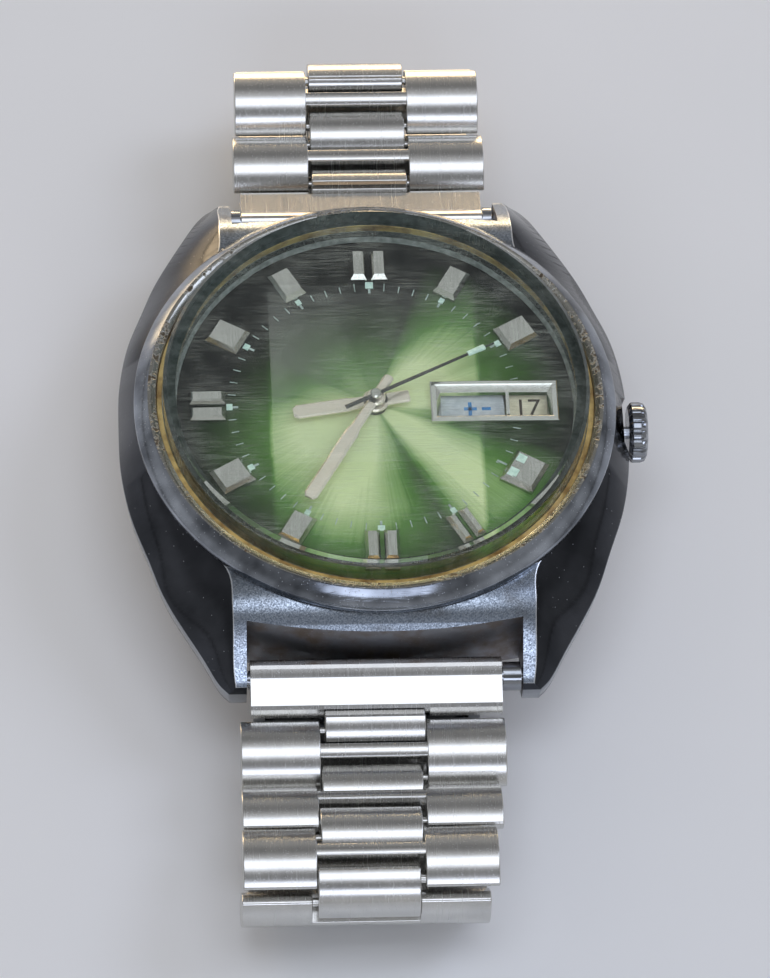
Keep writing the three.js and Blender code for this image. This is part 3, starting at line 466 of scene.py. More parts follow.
def facetGlass():  # flat ground mineral glass: clear, with a worn veil and fine scratches in its table
    material, tree, place = newMaterial("facetedMineralGlass")
    side, low, high = [crystalShape[key] * mm for key in ("tableX", "tableLow", "tableHigh")]
    lines = scratches(tree, place, 2.6, 0.06, 0.62, (12, 38, 64, 97, 128, 155), 1.0)
    cloud = noiseAt(tree, place, perSize(3.2), 2.0, offset=7.0)
    patch = addNode(tree, "MapRange", {0: cloud, 1: 0.4, 2: 0.62})
    wear = addNode(tree, "Math", {"operation": "MULTIPLY", 0: lines, 1: patch})
    split = addNode(tree, "SeparateXYZ", {0: place})
    x, y = split.outputs["X"], split.outputs["Y"]
    acrossTable = addNode(tree, "Math", {"operation": "COMPARE", 0: x, 1: 0.0, 2: side})
    middle, reach = (high - low) / 2, (high + low) / 2
    alongTable = addNode(tree, "Math", {"operation": "COMPARE", 0: y, 1: middle, 2: reach})
    inTable = addNode(tree, "Math", {"operation": "MULTIPLY", 0: acrossTable, 1: alongTable})
    mist = noiseAt(tree, place, perSize(4.5), 3.0, offset=3.0)
    haze = addNode(tree, "MapRange", {0: mist, 1: 0.3, 2: 0.7, 3: 0.02, 4: 0.08})
    fade = addNode(tree, "MapRange", {0: x, 1: -side, 2: mm, 3: 1.6, 4: 0.6})  # thicker towards 9 o'clock
    haze = addNode(tree, "Math", {"operation": "MULTIPLY", 0: haze, 1: fade})
    veil = addNode(tree, "Math", {"operation": "MULTIPLY", 0: inTable, 1: haze})
    glass = addNode(tree, "BsdfPrincipled", {"Base Color": linear("#F8FAF6"), "Roughness": 0.0, "IOR": 1.38,
                                             "Transmission Weight": 1.0})
    frost = addNode(tree, "BsdfPrincipled", {"Base Color": linear("#C9CFC4"), "Roughness": 0.45, "IOR": 1.5})
    cloudy = addNode(tree, "Math", {"operation": "MULTIPLY_ADD", 0: wear, 1: 0.12, 2: veil})
    worn = addNode(tree, "MixShader", {0: cloudy, 1: glass, 2: frost})
    clear = addNode(tree, "BsdfTransparent", {"Color": linear("#F2F5F0")})
    shadow = addNode(tree, "LightPath").outputs["Is Shadow Ray"]
    mix = addNode(tree, "MixShader", {0: shadow, 1: worn, 2: clear})
    addNode(tree, "OutputMaterial", {"Surface": mix})
    return material


sunburst = {  # painted reflection rays: clock angle and half width in degrees, strength, and where each fades in mm
    "dark": "#090C08", "green": "#568638", "pale": "#CBD9A6", "middle": 0.4, "bristles": 34.0,
    "paintedReflectionRays": [(58, 40, 1.25, 4.0, 13.0), (92, 26, 0.6, 2.0, 14.0), (226, 52, 1.1, 5.5, 13.5),
             (264, 36, 0.55, 3.0, 10.5), (131, 24, 1.2, 12.0, 15.5), (184, 34, 0.7, 8.5, 14.5),
             (300, 46, 0.24, 3.0, 10.0), (0, 50, 0.2, 3.0, 9.0)],
}


def sunburstLacquer():  # brass plate brushed outward, green lacquer fading to black at the rim, with the sunburst's reflections painted in as bright rays
    material, tree, place = newMaterial("greenSunburstWithPaintedReflections")
    split = addNode(tree, "SeparateXYZ", {0: place})
    x, y = split.outputs["X"], split.outputs["Y"]
    onDial = addNode(tree, "CombineXYZ", {0: x, 1: y})
    length = addNode(tree, "VectorMath", {"operation": "LENGTH", 0: onDial})
    radius = addNode(tree, "Math", {"operation": "DIVIDE", 0: length, 1: mm})
    around = addNode(tree, "Math", {"operation": "ARCTAN2", 0: x, 1: y})  # clockwise from 12 o'clock
    circle = addNode(tree, "CombineXYZ")
    for index, operation in enumerate(("SINE", "COSINE")):
        wave = addNode(tree, "Math", {"operation": operation, 0: around})
        stroke = addNode(tree, "Math", {"operation": "MULTIPLY", 0: wave, 1: sunburst["bristles"]})
        tree.links.new(stroke.outputs[0], circle.inputs[index])
    brush = addNode(tree, "TexNoise", {"Vector": circle, "Scale": 1.0, "Detail": 4.0, "Roughness": 0.7})
    fumeAndPaintedLight = addNode(tree, "MapRange", {0: radius, 1: 1.0, 2: 6.0, 3: sunburst["middle"], 4: 0.0})
    # painted reflection: each ray lightens the lacquer along its clock angle, on top of the lacquer's own brighter
    # middle
    for clock, half, strength, near, far in sunburst["paintedReflectionRays"]:
        away = addNode(tree, "Math", {"operation": "SUBTRACT", 0: around, 1: math.radians(clock)})
        away = addNode(tree, "Math", {"operation": "COSINE", 0: away})
        paintedRayBeam = addNode(tree, "MapRange", {0: away, 1: math.cos(math.radians(half)), 2: 1.0})
        reach = addNode(tree, "MapRange", {0: radius, 1: near, 2: far, 3: strength, 4: 0.0})
        fumeAndPaintedLight = addNode(tree, "Math", {"operation": "MULTIPLY_ADD", 0: paintedRayBeam, 1: reach, 2: fumeAndPaintedLight})
    # painted shade: the dial at half strength where it lies under the crystal's side facets
    offMiddle = addNode(tree, "Math", {"operation": "ABSOLUTE", 0: x})
    paintedFacetShade = addNode(tree, "MapRange", {0: offMiddle, 1: 7.1 * mm, 2: 7.5 * mm, 3: 1.0, 4: 0.5})
    strokes = addNode(tree, "MapRange", {0: brush, 1: 0.25, 2: 0.75, 3: 0.85, 4: 1.12})
    for shade in (paintedFacetShade, strokes):  # painted shade under the steeper side facets, and dimmer along the brush strokes
        fumeAndPaintedLight = addNode(tree, "Math", {"operation": "MULTIPLY", 0: fumeAndPaintedLight, 1: shade})
    # dark to green by the lacquer's fade and the painted rays, pale green as painted highlight where they are
    # strongest
    colour = twoTone(tree, fumeAndPaintedLight, 0.0, 0.6, linear(sunburst["dark"]), linear(sunburst["green"]))
    colour = twoTone(tree, fumeAndPaintedLight, 0.45, 1.1, colour, linear(sunburst["pale"]))
    coatSurface(tree, colour, 0.5, brush, 0.002, {"Metallic": 0.0, "Specular IOR Level": 0.15})
    return material


satinSteel = satinStrapSteel()
# the flanks' polished steel is near-black: painted dark reflection, while the case sides keep pale steel
paintedDarkMirror = mirrorSteel("polishedSteelPaintedDarkReflection", "#44464B", "#303236")
bezelMirror = mirrorSteel("polishedBezelSteel", "#A9AFB8", "#50545A", 0.1)
lugTop = brushedLugSteel()
pitted = pittedSteel()
grimyWall = darkWallSteel()
rhodium = rhodiumPlate()
nickel = platedMetal("satinNickelPlate", "#CFC9BB", "#A9A395", 0.3)
brass = platedMetal("giltBrass", "#C9A45C", "#9C7A3E", 0.32)
gasketAmber = agedGasket()
shadedLedge = plainPaint("shadedGasketLedge", "#8B9290", "#626A68", 0.4)
glass = facetGlass()
dialGreen = sunburstLacquer()
lume = plainPaint("agedLumePaint", "#CFE6DC", "#B4D2C8", 0.6, 0.25)
creamPaper = plainPaint("creamDatePrint", "#E2DAC2", "#D3C9AE", 0.6)
greyPaper = plainPaint("greyDayPrint", "#C9CDD3", "#B8BDC6", 0.6)
brownInk = plainPaint("brownNumberInk", "#3B2A1C", "#2B1E14", 0.5)
blueInk = plainPaint("blueDayInk", "#2F86C9", "#2673B4", 0.5)
blackPaint = plainPaint("blackHandEnamel", "#17181A", "#0F1012", 0.3)
print("materials made")


caseShape = {  # one quarter seen from above, 3 o'clock to the lug tip: [x, y, drop] in mm
    "edge": [(17.9, 0, 0), (17.8, 3.5, 0), (17.2, 7, 0.1), (16.1, 10.25, 0.4), (14.85, 13.6, 0.9),
             (12.5, 17.95, 1.2), (11.5, 19.65, 1.7), (10.75, 20.4, 1.98)],
    "strip": [(16.7, 0, 0), (16.35, 3.3, 0), (15.2, 6.8, 0), (13.3, 9.9, 0), (10.75, 13.0, 0),
              (10.42, 16.0, 0), (10.4, 19.0, 0), (10.25, 20.27, 0)],
    "topLine": [(0, 0), (14.6, 0), (15.8, 0.16), (16.8, 0.7), (17.8, 1.52), (19.0, 2.65), (20.4, 4.05)],
    "floor": 5.9, "top": 11.7, "flankEdge": 9.1, "sideWall": 1.3, "edgeWear": 0.05,
    "lugGapHalf": 9.5, "archRadius": 65, "archReach": 17.5,
    "barY": 19.24, "barZ": 7.1, "relief": 1.65, "barHole": 0.62,
    "bores": [(0, 3), (14.9, 3), (14.9, 7.4), (13.5, 7.4), (13.5, 11.2), (14.3, 11.2), (14.3, 13), (0, 13)],
    "backRadius": 16.4, "stemZ": 8.2, "stemHole": 0.75, "crownRecess": 2.45, "recessStart": 17.55,
}


def throughPoints(points, steps):  # a smooth line through the points, mirrored at its start
    mirrored = (points[1][0], -points[1][1], points[1][2])
    line = [mirrored, *points, tuple(2 * a - b for a, b in zip(points[-1], points[-2]))]
    made = []
    for k in range(1, len(line) - 2):
        p0, p1, p2, p3 = [Vector(p) for p in line[k - 1:k + 3]]
        for s in range(steps):
            t = s / steps
            made.append(0.5 * (2 * p1 + (p2 - p0) * t + (2 * p0 - 5 * p1 + 4 * p2 - p3) * t * t
                               + (3 * p1 - p0 - 3 * p2 + p3) * t ** 3))
    made.append(Vector(line[-2]))
    return made


def allRound(points):  # the quarter repeated into the full outline, anticlockwise
    left = [Vector((-p.x, p.y, p.z)) for p in reversed(points)]
    upper = points + left[:-1]
    return upper + [Vector((-p.x, -p.y, p.z)) for p in upper]


def topDrop(shape, y):  # how far the top has fallen at a distance from the middle, eased at each corner
    line = shape["topLine"]
    total = 0.0
    for shift in (-0.5, -0.25, 0, 0.25, 0.5):
        at = min(max(0.0, abs(y) + shift), line[-1][0])
        k = next(i for i in range(1, len(line)) if line[i][0] >= at)
        (y0, z0), (y1, z1) = line[k - 1], line[k]
        total += z0 + (z1 - z0) * (at - y0) / (y1 - y0)
    return total / 5


def caseBlank(shape):
    edge = allRound(throughPoints(shape["edge"], 6))
    strip = allRound(throughPoints(shape["strip"], 6))
    wear, count = shape["edgeWear"], len(edge)

    def ring(points, level, grow=0.0):
        out = []
        for p in points:
            k = 1 + grow / math.hypot(p.x, p.y)
            out.append(Vector((p.x * k, p.y * k, level - p.z)))
        return out

    def toward(first, second, length):
        return [a + (b - a).normalized() * length for a, b in zip(first, second)]

    back, level = shape["backRadius"], Vector((0, 0, shape["floor"]))
    underside = [Vector((p.x, p.y, 0)).normalized() * back + level for p in edge]
    floor = [level - Vector((-p.x, -p.y, max(0, d.z - 1.1))) for p, d in zip(ring(edge, 0, -1.3), edge)]
    foot = ring(edge, shape["flankEdge"] - shape["sideWall"], -0.15)
    shoulder = ring(edge, shape["flankEdge"])
    rim = [Vector((p.x, p.y, shape["top"] - topDrop(shape, p.y))) for p in strip]
    inner = [Vector((p.x - math.copysign(wear, p.x), p.y, p.z)) for p in rim]
    rings = [underside, floor, toward(foot, floor, wear), toward(foot, shoulder, wear),
             toward(shoulder, foot, wear), toward(shoulder, rim, wear), toward(rim, shoulder, wear), inner]
    # slot 0, the flanks and underside, takes the near-black steel of the painted dark reflection
    slots = [0, 0, 1, 1, 1, 0, 4]
    bm = bmesh.new()
    rows = [[bm.verts.new(p * mm) for p in ring] for ring in rings]
    bm.faces.new(reversed(rows[0]))
    for row, after, slot in zip(rows, rows[1:], slots):
        for k in range(count):
            n = (k + 1) % count
            bm.faces.new((row[k], row[n], after[n], after[k])).material_index = slot
    half, top = count // 2, rows[-1]
    for start in (0, half):  # the top is level across X, so each row runs from flank to flank
        for k in range(half // 2):
            corners = (start + k, start + k + 1, start + half - k - 1, (start + half - k) % count)
            bm.faces.new([top[c] for c in corners]).material_index = 2
    bmesh.ops.recalc_face_normals(bm, faces=bm.faces)
    return bm


def cutter(name, bm):  # what it cuts is bare wall
    for face in bm.faces:
        face.material_index = 3
    return meshObject(name, bm, [paintedDarkMirror, sideMirror, lugTop, grimyWall, wornEdge])


def rodAcross(radius, left, right, y, z, segments=32):
    return acrossX(arcPoints(y, z, radius, 0, 360 - 360 / segments, segments), left, right)


def turned(bm, degrees):  # about the middle of the dial
    bm.transform(Matrix.Rotation(math.radians(degrees), 4, "Z"))
    return bm


def lugCutters(shape, turn, closer=0.0):
    half, arch, reach = shape["lugGapHalf"], shape["archRadius"], shape["archReach"] - closer
    across = [-half + 2 * half * k / 40 for k in range(41)]
    wall = [(x, reach - arch + math.sqrt(arch ** 2 - x * x)) for x in across]
    outline = wall + [(half, 24), (-half, 24)]
    y, z = shape["barY"], shape["barZ"]
    side, relief = half - 0.01, shape["relief"]
    cuts = {"lugRoom": upFromXY(outline, 3, 15), "reliefCut": rodAcross(relief, -side, side, y, z, 48),
            "underCut": boxMesh(-side, side, y - relief, y + 1, 3, z),
            "barHoles": rodAcross(shape["barHole"], -half - 1.2, half + 1.2, y, z)}
    return [cutter(name, turned(bm, turn)) for name, bm in cuts.items()]


def buildCase(shape):
    blank = meshObject("caseMiddle", caseBlank(shape), [paintedDarkMirror, sideMirror, lugTop, grimyWall, wornEdge])
    recess = rodAcross(shape["crownRecess"], shape["recessStart"], 20, 0, shape["stemZ"], 64)
    cutters = [*lugCutters(shape, 0, 0.5), *lugCutters(shape, 180),
               cutter("bores", closedLathe(shape["bores"], 96)),
               cutter("stemHole", rodAcross(shape["stemHole"], 12.3, 20, 0, shape["stemZ"])),
               cutter("crownRecess", recess)]
    cutAway(blank, cutters)
    blank.data.set_sharp_from_angle(angle=math.radians(28))
    return finishPiece(blank, "case_body")


sideMirror = mirrorSteel("polishedCaseSide", "#A9ACB0", "#85888D")
wornEdge = platedMetal("wornCaseEdge", "#E9ECEF", "#C9CED4", 0.3)
buildCase(caseShape)
print("case built")


def latheParts(name, profile, materials, slots, node):  # slots name the material of each side
    finishPiece(meshObject(name, closedLathe(profile, 192, slots), materials), node)


ringProfiles = {  # [radius, height] in mm, anticlockwise
    "bezel": [(15.3, 11.7), (16.8, 11.7), (16.84, 11.8), (16.85, 12.36), (16.8, 12.47), (15.99, 13.32),
              (15.9, 13.39), (15.74, 13.4), (15.62, 13.35), (15.34, 13.22), (15.3, 13.14)],
    "gasket": [(13.8, 11.7), (15.27, 11.7), (15.27, 12.86), (15.23, 12.9), (14.93, 12.9), (14.9, 12.86),
               (14.9, 12.2), (13.95, 12.2)],
    "back": [(0, 4.4), (14.2, 4.4), (14.5, 4.43), (15.5, 4.95), (15.6, 5.1), (15.6, 5.7), (14.6, 5.7),
             (14.6, 7.1), (13.6, 7.1), (13.6, 5.0), (0, 5.0)],
}
latheParts("bezelRing", ringProfiles["bezel"], [bezelMirror, pitted, grimyWall],
           [2, 2, 0, 0, 0, 0, 1, 1, 1, 2, 2], "bezel")
latheParts("crystalGasketRing", ringProfiles["gasket"], [gasketAmber, shadedLedge],
           [1, 0, 0, 0, 0, 0, 1, 1], "crystal_gasket")
latheParts("screwedCaseBack", ringProfiles["back"], [satinSteel], [0] * 11, "case_back")


def buildCrystal(shape):
    r, top = shape["radius"], shape["top"]
    bm = closedLathe([(0, shape["inside"]), (shape["bowl"], shape["inside"]), (shape["bowl"], shape["low"]),
                      (r, shape["low"]), (r, top - 0.6), (r - shape["chamfer"], top), (0, top)], 256)
    for edge, angle in ((shape["tableX"], 0), (shape["tableHigh"], 90), (shape["tableX"], 180),
                        (shape["tableLow"], 270)):
        a = math.radians(angle)
        slope = math.atan2(shape["drop"], r - edge)
        normal = Vector((math.cos(a) * math.sin(slope), math.sin(a) * math.sin(slope), math.cos(slope)))
        foot = Vector((math.cos(a) * edge, math.sin(a) * edge, top)) * mm
        cut = bmesh.ops.bisect_plane(bm, geom=bm.verts[:] + bm.edges[:] + bm.faces[:], dist=1e-7,
                                     plane_co=foot, plane_no=normal, clear_outer=True)
        rim = [e for e in cut["geom_cut"] if isinstance(e, bmesh.types.BMEdge)]
        bmesh.ops.contextual_create(bm, geom=rim)
    bmesh.ops.recalc_face_normals(bm, faces=bm.faces)
    return finishPiece(meshObject("facetedCrystal", bm, [glass], 1.0), "crystal")


buildCrystal(crystalShape)
print("crystal built")


dialShape = {"top": 11.6, "low": 11.2, "bore": 0.84, "radius": 14.2, "blockReach": (10.4, 12.9),
             "blockHeight": 0.6, "window": (4.6, 12.0, 0.95)}  # window: left, right, half height
dialTop = dialShape["top"]


def buildDial():
    profile = ringProfile(dialShape["bore"], dialShape["radius"], dialShape["low"], dialTop)
    plate = meshObject("dialPlate", closedLathe(profile, 160), [dialGreen])
    x0, x1, half = dialShape["window"]
    cutAway(plate, [meshObject("windowCut", boxMesh(x0, x1, -half, half, 10, 13), [dialGreen])])
    plate.data.set_sharp_from_angle(angle=math.radians(30))
    finishPiece(plate, "dial")


def roofBlock(x0, x1, inner, outer, high, slope=0.22):  # a bar with ground slopes round its flat top
    base = [(x0, inner), (x1, inner), (x1, outer), (x0, outer)]
    inset = min(slope, (x1 - x0) * 0.3)
    crown = [(x0 + inset, inner + slope * 1.3), (x1 - inset, inner + slope * 1.3),
             (x1 - inset, outer - slope), (x0 + inset, outer - slope)]
    bm = bmesh.new()
    levels = ((base, dialTop - 0.05), (base, dialTop + high * 0.45), (crown, dialTop + high))
    rings = [pointsAt(bm, [(x, y, z) for x, y in ring]) for ring, z in levels]
    bm.faces.new(reversed(rings[0]))
    bm.faces.new(rings[2])
    return joinRings(bm, rings)


markerBars = {  # each hour block's bars as [left, right] in mm, seen from the centre outward
    12: [(-1.3, -0.16), (0.16, 1.3)], 1: [(-0.85, 0.85)], 2: [(-1.05, 1.05)], 4: [(-1.3, 1.3)],
    5: [(-0.9, -0.12), (0.12, 0.9)], 6: [(-1.2, -0.14), (0.14, 1.2)], 7: [(-0.9, 0.9)], 8: [(-1.05, 1.05)],
    9: [(-1.2, -0.14), (0.14, 1.2)], 10: [(-1.05, 1.05)], 11: [(-0.85, 0.85)],
}


def buildMarkers():
    inner, outer = dialShape["blockReach"]
    for hour, bars in markerBars.items():
        bm = bmesh.new()
        for x0, x1 in bars:
            addTo(bm, roofBlock(x0, x1, inner, outer, dialShape["blockHeight"]))
        finishPiece(meshObject(f"hourBlock{hour}", turned(bm, -30 * hour), [markerMetal], 12), "dial")
        wide = bars[-1][1] * 0.5 * 0.42
        dots = bmesh.new()
        if hour == 4:
            for x0, x1 in ((-0.95, -0.3), (0.3, 0.95)):
                addTo(dots, boxMesh(x0, x1, inner + 0.35, inner + 1.0, dialTop + 0.55, dialTop + 0.61))
        else:
            addTo(dots, boxMesh(-wide, wide, inner - 0.5, inner - 0.08, dialTop - 0.01, dialTop + 0.06))
        finishPiece(meshObject(f"lumeDot{hour}", turned(dots, -30 * hour), [lume]), "dial")


def buildTrack():
    bm = bmesh.new()
    for minute in range(60):
        hourTick = minute % 5 == 0
        half, inner = (0.08, 9.5) if hourTick else (0.035, 9.7)
        if abs(minute - 15) < 2:
            continue
        tick = boxMesh(-half, half, inner, 10.25, dialTop - 0.01, dialTop + 0.012)
        addTo(bm, turned(tick, -6 * minute))
    finishPiece(meshObject("minuteTrack", bm, [trackInk]), "dial")


def rectangleRing(x0, x1, half, profile):  # rings of [grow, height] round a rectangle, closed into a frame
    bm = bmesh.new()
    rings = [pointsAt(bm, [(x0 - grow, -half - grow, z), (x1 + grow, -half - grow, z),
                           (x1 + grow, half + grow, z), (x0 - grow, half + grow, z)]) for grow, z in profile]
    return joinRings(bm, rings + rings[:1])


def buildWindow():
    low, high = nodeSize("window_frame")
    x0, x1, half = dialShape["window"]
    outward, top = high.y - half, high.z
    bm = rectangleRing(x0, x1, half,
                       [(0, low.z), (0.03, low.z + 0.05), (0.34, top - 0.03), (0.42, top),
                        (outward - 0.1, top), (outward - 0.02, top - 0.06), (outward - 0.02, low.z)])
    addTo(bm, boxMesh(9.08, 9.32, -half, half, low.z, low.z + 0.14))
    finishPiece(meshObject("dayDateFrame", bm, [frameMetal], 20), "window_frame")


markerMetal = platedMetal("agedMarkerPlate", "#E4E2DC", "#A8A69F", 0.1, 0.0001)
trackInk = plainPaint("fadedTrackPrint", "#A9B8B4", "#7F908C", 0.5)
frameMetal = platedMetal("polishedWindowFrame", "#ECEBE7", "#CFCDC8", 0.14, 0.0001)
buildDial()
buildMarkers()
buildTrack()
buildWindow()
print("dial built")


discShape = {"top": 10.95, "low": 10.75, "date": (9.3, 12.9), "day": (1.5, 9.0), "shown": 17,
             "numberHeight": 1.35, "numberPlace": 10.62,
             "dayMarks": ((6.55, 6.8, -0.55, 0.55), (6.25, 7.15, -0.13, 0.13), (7.5, 8.05, -0.13, 0.13))}


def textMesh(words, height, thickness):  # letters as a solid mesh centred on the origin, sizes in mm
    curve = bpy.data.curves.new("letters", "FONT")
    curve.body = words
    curve.align_x, curve.align_y = "CENTER", "CENTER"
    curve.size = height * mm / 0.69
    curve.extrude = thickness * mm / 2
    curve.space_character = 0.95
    holder = bpy.data.objects.new("letters", curve)
    bpy.context.collection.objects.link(holder)
    bpy.context.view_layer.update()
    mesh = bpy.data.meshes.new_from_object(holder.evaluated_get(bpy.context.evaluated_depsgraph_get()))
    bpy.data.objects.remove(holder)
    bm = bmesh.new()
    bm.from_mesh(mesh)
    bpy.data.meshes.remove(mesh)
    return bm


def buildDiscs(shape):
    low, top = shape["low"], shape["top"]
    for name, reach, paper, node in (("dateRingDisc", shape["date"], creamPaper, "date_ring"),
                                     ("dayRingDisc", shape["day"], greyPaper, "day_disc")):
        finishPiece(meshObject(name, closedLathe(ringProfile(*reach, low, top), 128), [paper]), node)
    numbers = bmesh.new()
    for number in range(1, 32):
        glyphs = textMesh(str(number), shape["numberHeight"], 0.02)
        place = (shape["numberPlace"] * mm, 0, (top + 0.005) * mm)
        bmesh.ops.translate(glyphs, verts=glyphs.verts, vec=place)
        addTo(numbers, turned(glyphs, (shape["shown"] - number) * 360 / 31))
    finishPiece(meshObject("dateNumbers", numbers, [brownInk]), "date_ring", False)
    marks = bmesh.new()
    for day in range(7):
        stroke = bmesh.new()
        for x0, x1, y0, y1 in shape["dayMarks"]:
            addTo(stroke, boxMesh(x0, x1, y0, y1, top - 0.005, top + 0.012))
        addTo(marks, turned(stroke, day * 360 / 7))
    finishPiece(meshObject("dayMarks", marks, [blueInk]), "day_disc", False)


buildDiscs(discShape)


def bladeMesh(stations, low, edge, ridge):  # stations are [distance from the centre, half width]
    bm = bmesh.new()
    rows = []
    for y, half in stations:
        flat = max(half - 0.13, half * 0.5)
        section = [(-half, low), (half, low), (half, low + edge), (flat, low + ridge), (-flat, low + ridge),
                   (-half, low + edge)]
        rows.append(pointsAt(bm, [(x, y, z) for x, z in section]))
    bm.faces.new(rows[0])
    bm.faces.new(reversed(rows[-1]))
    return joinRings(bm, rows)


handShapes = {  # low height, edge and ridge thickness, hub [outer, bore], stations, clock angle
    "hour_hand": (12.1, 0.09, 0.2, (0.95, 0.55),
                  [(-2.4, 0.44), (-2.3, 0.5), (1.7, 0.5), (2.0, 0.56), (5.55, 0.56), (5.85, 0.34)], 261),
    "minute_hand": (12.55, 0.09, 0.2, (0.7, 0.3),
                    [(-2.0, 0.3), (-1.9, 0.36), (2.9, 0.36), (3.45, 0.5), (9.3, 0.5), (9.6, 0.3)], 211.2),
}
tubeShapes = {"hour_hand": (0.55, 0.72, 10.4), "minute_hand": (0.3, 0.43, 8.15)}  # bore, radius, low end
secondHand = {"low": 12.95, "clock": 63.6, "arbor": 0.18, "arborLow": 7.0, "cap": 0.4,
              "blade": [(-2.4, 0.16), (7.0, 0.1), (7.05, 0.1), (9.4, 0.05)],
              "lume": [(7.35, 0.2), (8.6, 0.22), (8.65, 0.18)]}


def buildHands():
    for node, (low, edge, ridge, hub, stations, clock) in handShapes.items():
        bm = bladeMesh(stations, low, edge, ridge)
        outer, bore = hub
        addTo(bm, closedLathe([(bore, low), (outer, low), (outer, low + edge), (outer - 0.1, low + ridge),
                               (bore, low + ridge)], 64))
        name = "hourHand" if node == "hour_hand" else "minuteHand"
        finishPiece(meshObject(name, turned(bm, -clock), [rhodium], 12), node)
        addTube(node, name, low)
    low, clock, arbor, cap = [secondHand[key] for key in ("low", "clock", "arbor", "cap")]
    blade = turned(bladeMesh(secondHand["blade"], low, 0.06, 0.1), -clock)
    lumeTip = turned(bladeMesh(secondHand["lume"], low + 0.01, 0.08, 0.14), -clock)
    top = low + 0.3
    button = closedLathe([(0, low), (cap, low), (cap, top - 0.1), (cap - 0.1, top), (0, top)], 48)
    foot = secondHand["arborLow"]
    rod = closedLathe(ringProfile(0, arbor, foot, low + 0.02), 24)
    finishPiece(meshObject("secondsHand", blade, [blackPaint], 20), "second_hand")
    finishPiece(meshObject("secondsCap", button, [markerMetal], 20), "second_hand")
    finishPiece(meshObject("secondsLume", lumeTip, [lume], 20), "second_hand")
    finishPiece(meshObject("secondsArbor", rod, [nickel]), "second_hand")


def addTube(node, name, high):
    inner, outer, low = tubeShapes[node]
    tube = closedLathe(ringProfile(inner, outer, low, high + 0.05), 40)
    finishPiece(meshObject(name + "Tube", tube, [nickel]), node)


buildHands()
print("hands and discs built")


crownShape = {  # stations: distance from one end, how much smaller, how deep the flutes
    "flutes": 18, "fluteDepth": 0.17,
    "inner": [(0, 0.35, 0.4), (0.2, 0.05, 1), (0.3, 0, 1)],
    "outer": [(0.5, 0, 1), (0.2, 0.1, 0.9), (0.05, 0.35, 0.3), (0, 0.6, 0.0)],
}


def buildCrown(shape):
    low, high = nodeSize("crown")
    middle, radius, flutes = (low.z + high.z) / 2, (high.z - low.z) / 2, shape["flutes"]
    stations = [(low.x + along, shrink, depth) for along, shrink, depth in shape["inner"]]
    stations += [(high.x - along, shrink, depth) for along, shrink, depth in shape["outer"]]
    bm = bmesh.new()
    rows = []
    for x, shrink, depth in stations:
        row = []
        for k in range(flutes * 10):
            a = 2 * math.pi * k / (flutes * 10)
            r = radius - shrink - shape["fluteDepth"] * depth * max(0.0, math.cos(flutes * a)) ** 0.6
            row.append((x, r * math.cos(a), middle + r * math.sin(a)))
        rows.append(pointsAt(bm, row))
    bm.faces.new(rows[0])
    bm.faces.new(reversed(rows[-1]))
    finishPiece(meshObject("flutedCrown", joinRings(bm, rows), [sideMirror], 40), "crown")


barShape = {"pin": 0.5, "pinReach": 10.35, "tube": 0.65, "tubeReach": 9.38, "sleeve": 1.0,
            "sleeveStart": 8.75, "slip": {"6": -0.6, "12": 0.0}}  # slip: the end piece's sideways shift


def buildBars(shape):
    reach = shape["tubeReach"]
    for side, slip in shape["slip"].items():
        place = Vector(joints[f"lug_hinge_{side}"]["pos_m"]) / mm
        y, z = place.y, place.z
        bm = rodAcross(shape["pin"], -shape["pinReach"], shape["pinReach"], y, z)
        addTo(bm, rodAcross(shape["tube"], -reach, reach, y, z))
        for hand in (-1, 1):
            inner, outer = hand * shape["sleeveStart"] + slip, hand * reach
            if abs(outer - inner) > 0.5:
                addTo(bm, rodAcross(shape["sleeve"], min(inner, outer), max(inner, outer), y, z))
        finishPiece(meshObject(f"springBar{side}", bm, [sideMirror]), f"spring_bar_{side}")


buildCrown(crownShape)
buildBars(barShape)


linkShape = {
    "pitch": 3.44, "over": 0.7, "notch": 3.65, "webHalf": 0.5, "firstWidth": 18.2, "taper": 0.46,
    "centrePitch": 1.56, "centreOver": 1.03, "centreWidth": 6.9, "eye": 0.92, "tab": 0.62, "pin": 0.3,
    "crest": 1.38, "centreCrest": 1.28, "flatCrest": 1.1,
    "endWidth": 17.3, "endReach": 2.16, "endDrop": 0.45, "worn": 0.09,
}


def hingePlace(name):
    return Vector(joints[name]["pos_m"])


def strapFrame(side, k):  # from a strap piece's own frame to the watch's; k 0 is the end piece
    across = Vector((-1, 0, 0)) if side == "6" else Vector((1, 0, 0))
    if k == 0:
        origin, towards = hingePlace(f"lug_hinge_{side}"), hingePlace(f"strap_{side}_hinge_01")
        lead = math.atan2(linkShape["endDrop"], linkShape["endReach"])
    else:
        origin = hingePlace(f"strap_{side}_hinge_{k:02d}")
        lead = 0.0
        following = f"strap_{side}_hinge_{k + 1:02d}"
        if following in joints:
            towards = hingePlace(following)
        elif side == "12":
            towards = hingePlace("clasp_end_hinge")
        else:
            towards = origin + Vector((0, 1, 0))
    along = Vector((0, towards.y - origin.y, towards.z - origin.z)).normalized()
    along = Matrix.Rotation(lead, 3, across) @ along
    out = across.cross(along)
    place = Matrix((across, along, out)).transposed().to_4x4()
    place.translation = origin
    return place


def crestArc(start, end, foot, crest, count=29):  # a round back from end to start, its highest point midway
    reach, rise = (end - start) / 2, crest - foot
    radius = (reach ** 2 + rise ** 2) / (2 * rise)
    half = math.asin(reach / radius)
    turns = [half - 2 * half * k / (count - 1) for k in range(count)]
    return [((start + end) / 2 + radius * math.sin(a), crest - radius + radius * math.cos(a)) for a in turns]


def pillowOutline(crest):  # a wide link from the side: round back, flatter underside
    pitch, over = linkShape["pitch"], linkShape["over"]
    under = [(-over, 0), (-0.3, -0.52), (0.9, -0.85), (pitch - 0.9, -0.85), (pitch + 0.3, -0.52),
             (pitch + over, 0)]
    return crestArc(-over, pitch + over, 0.2, crest) + under


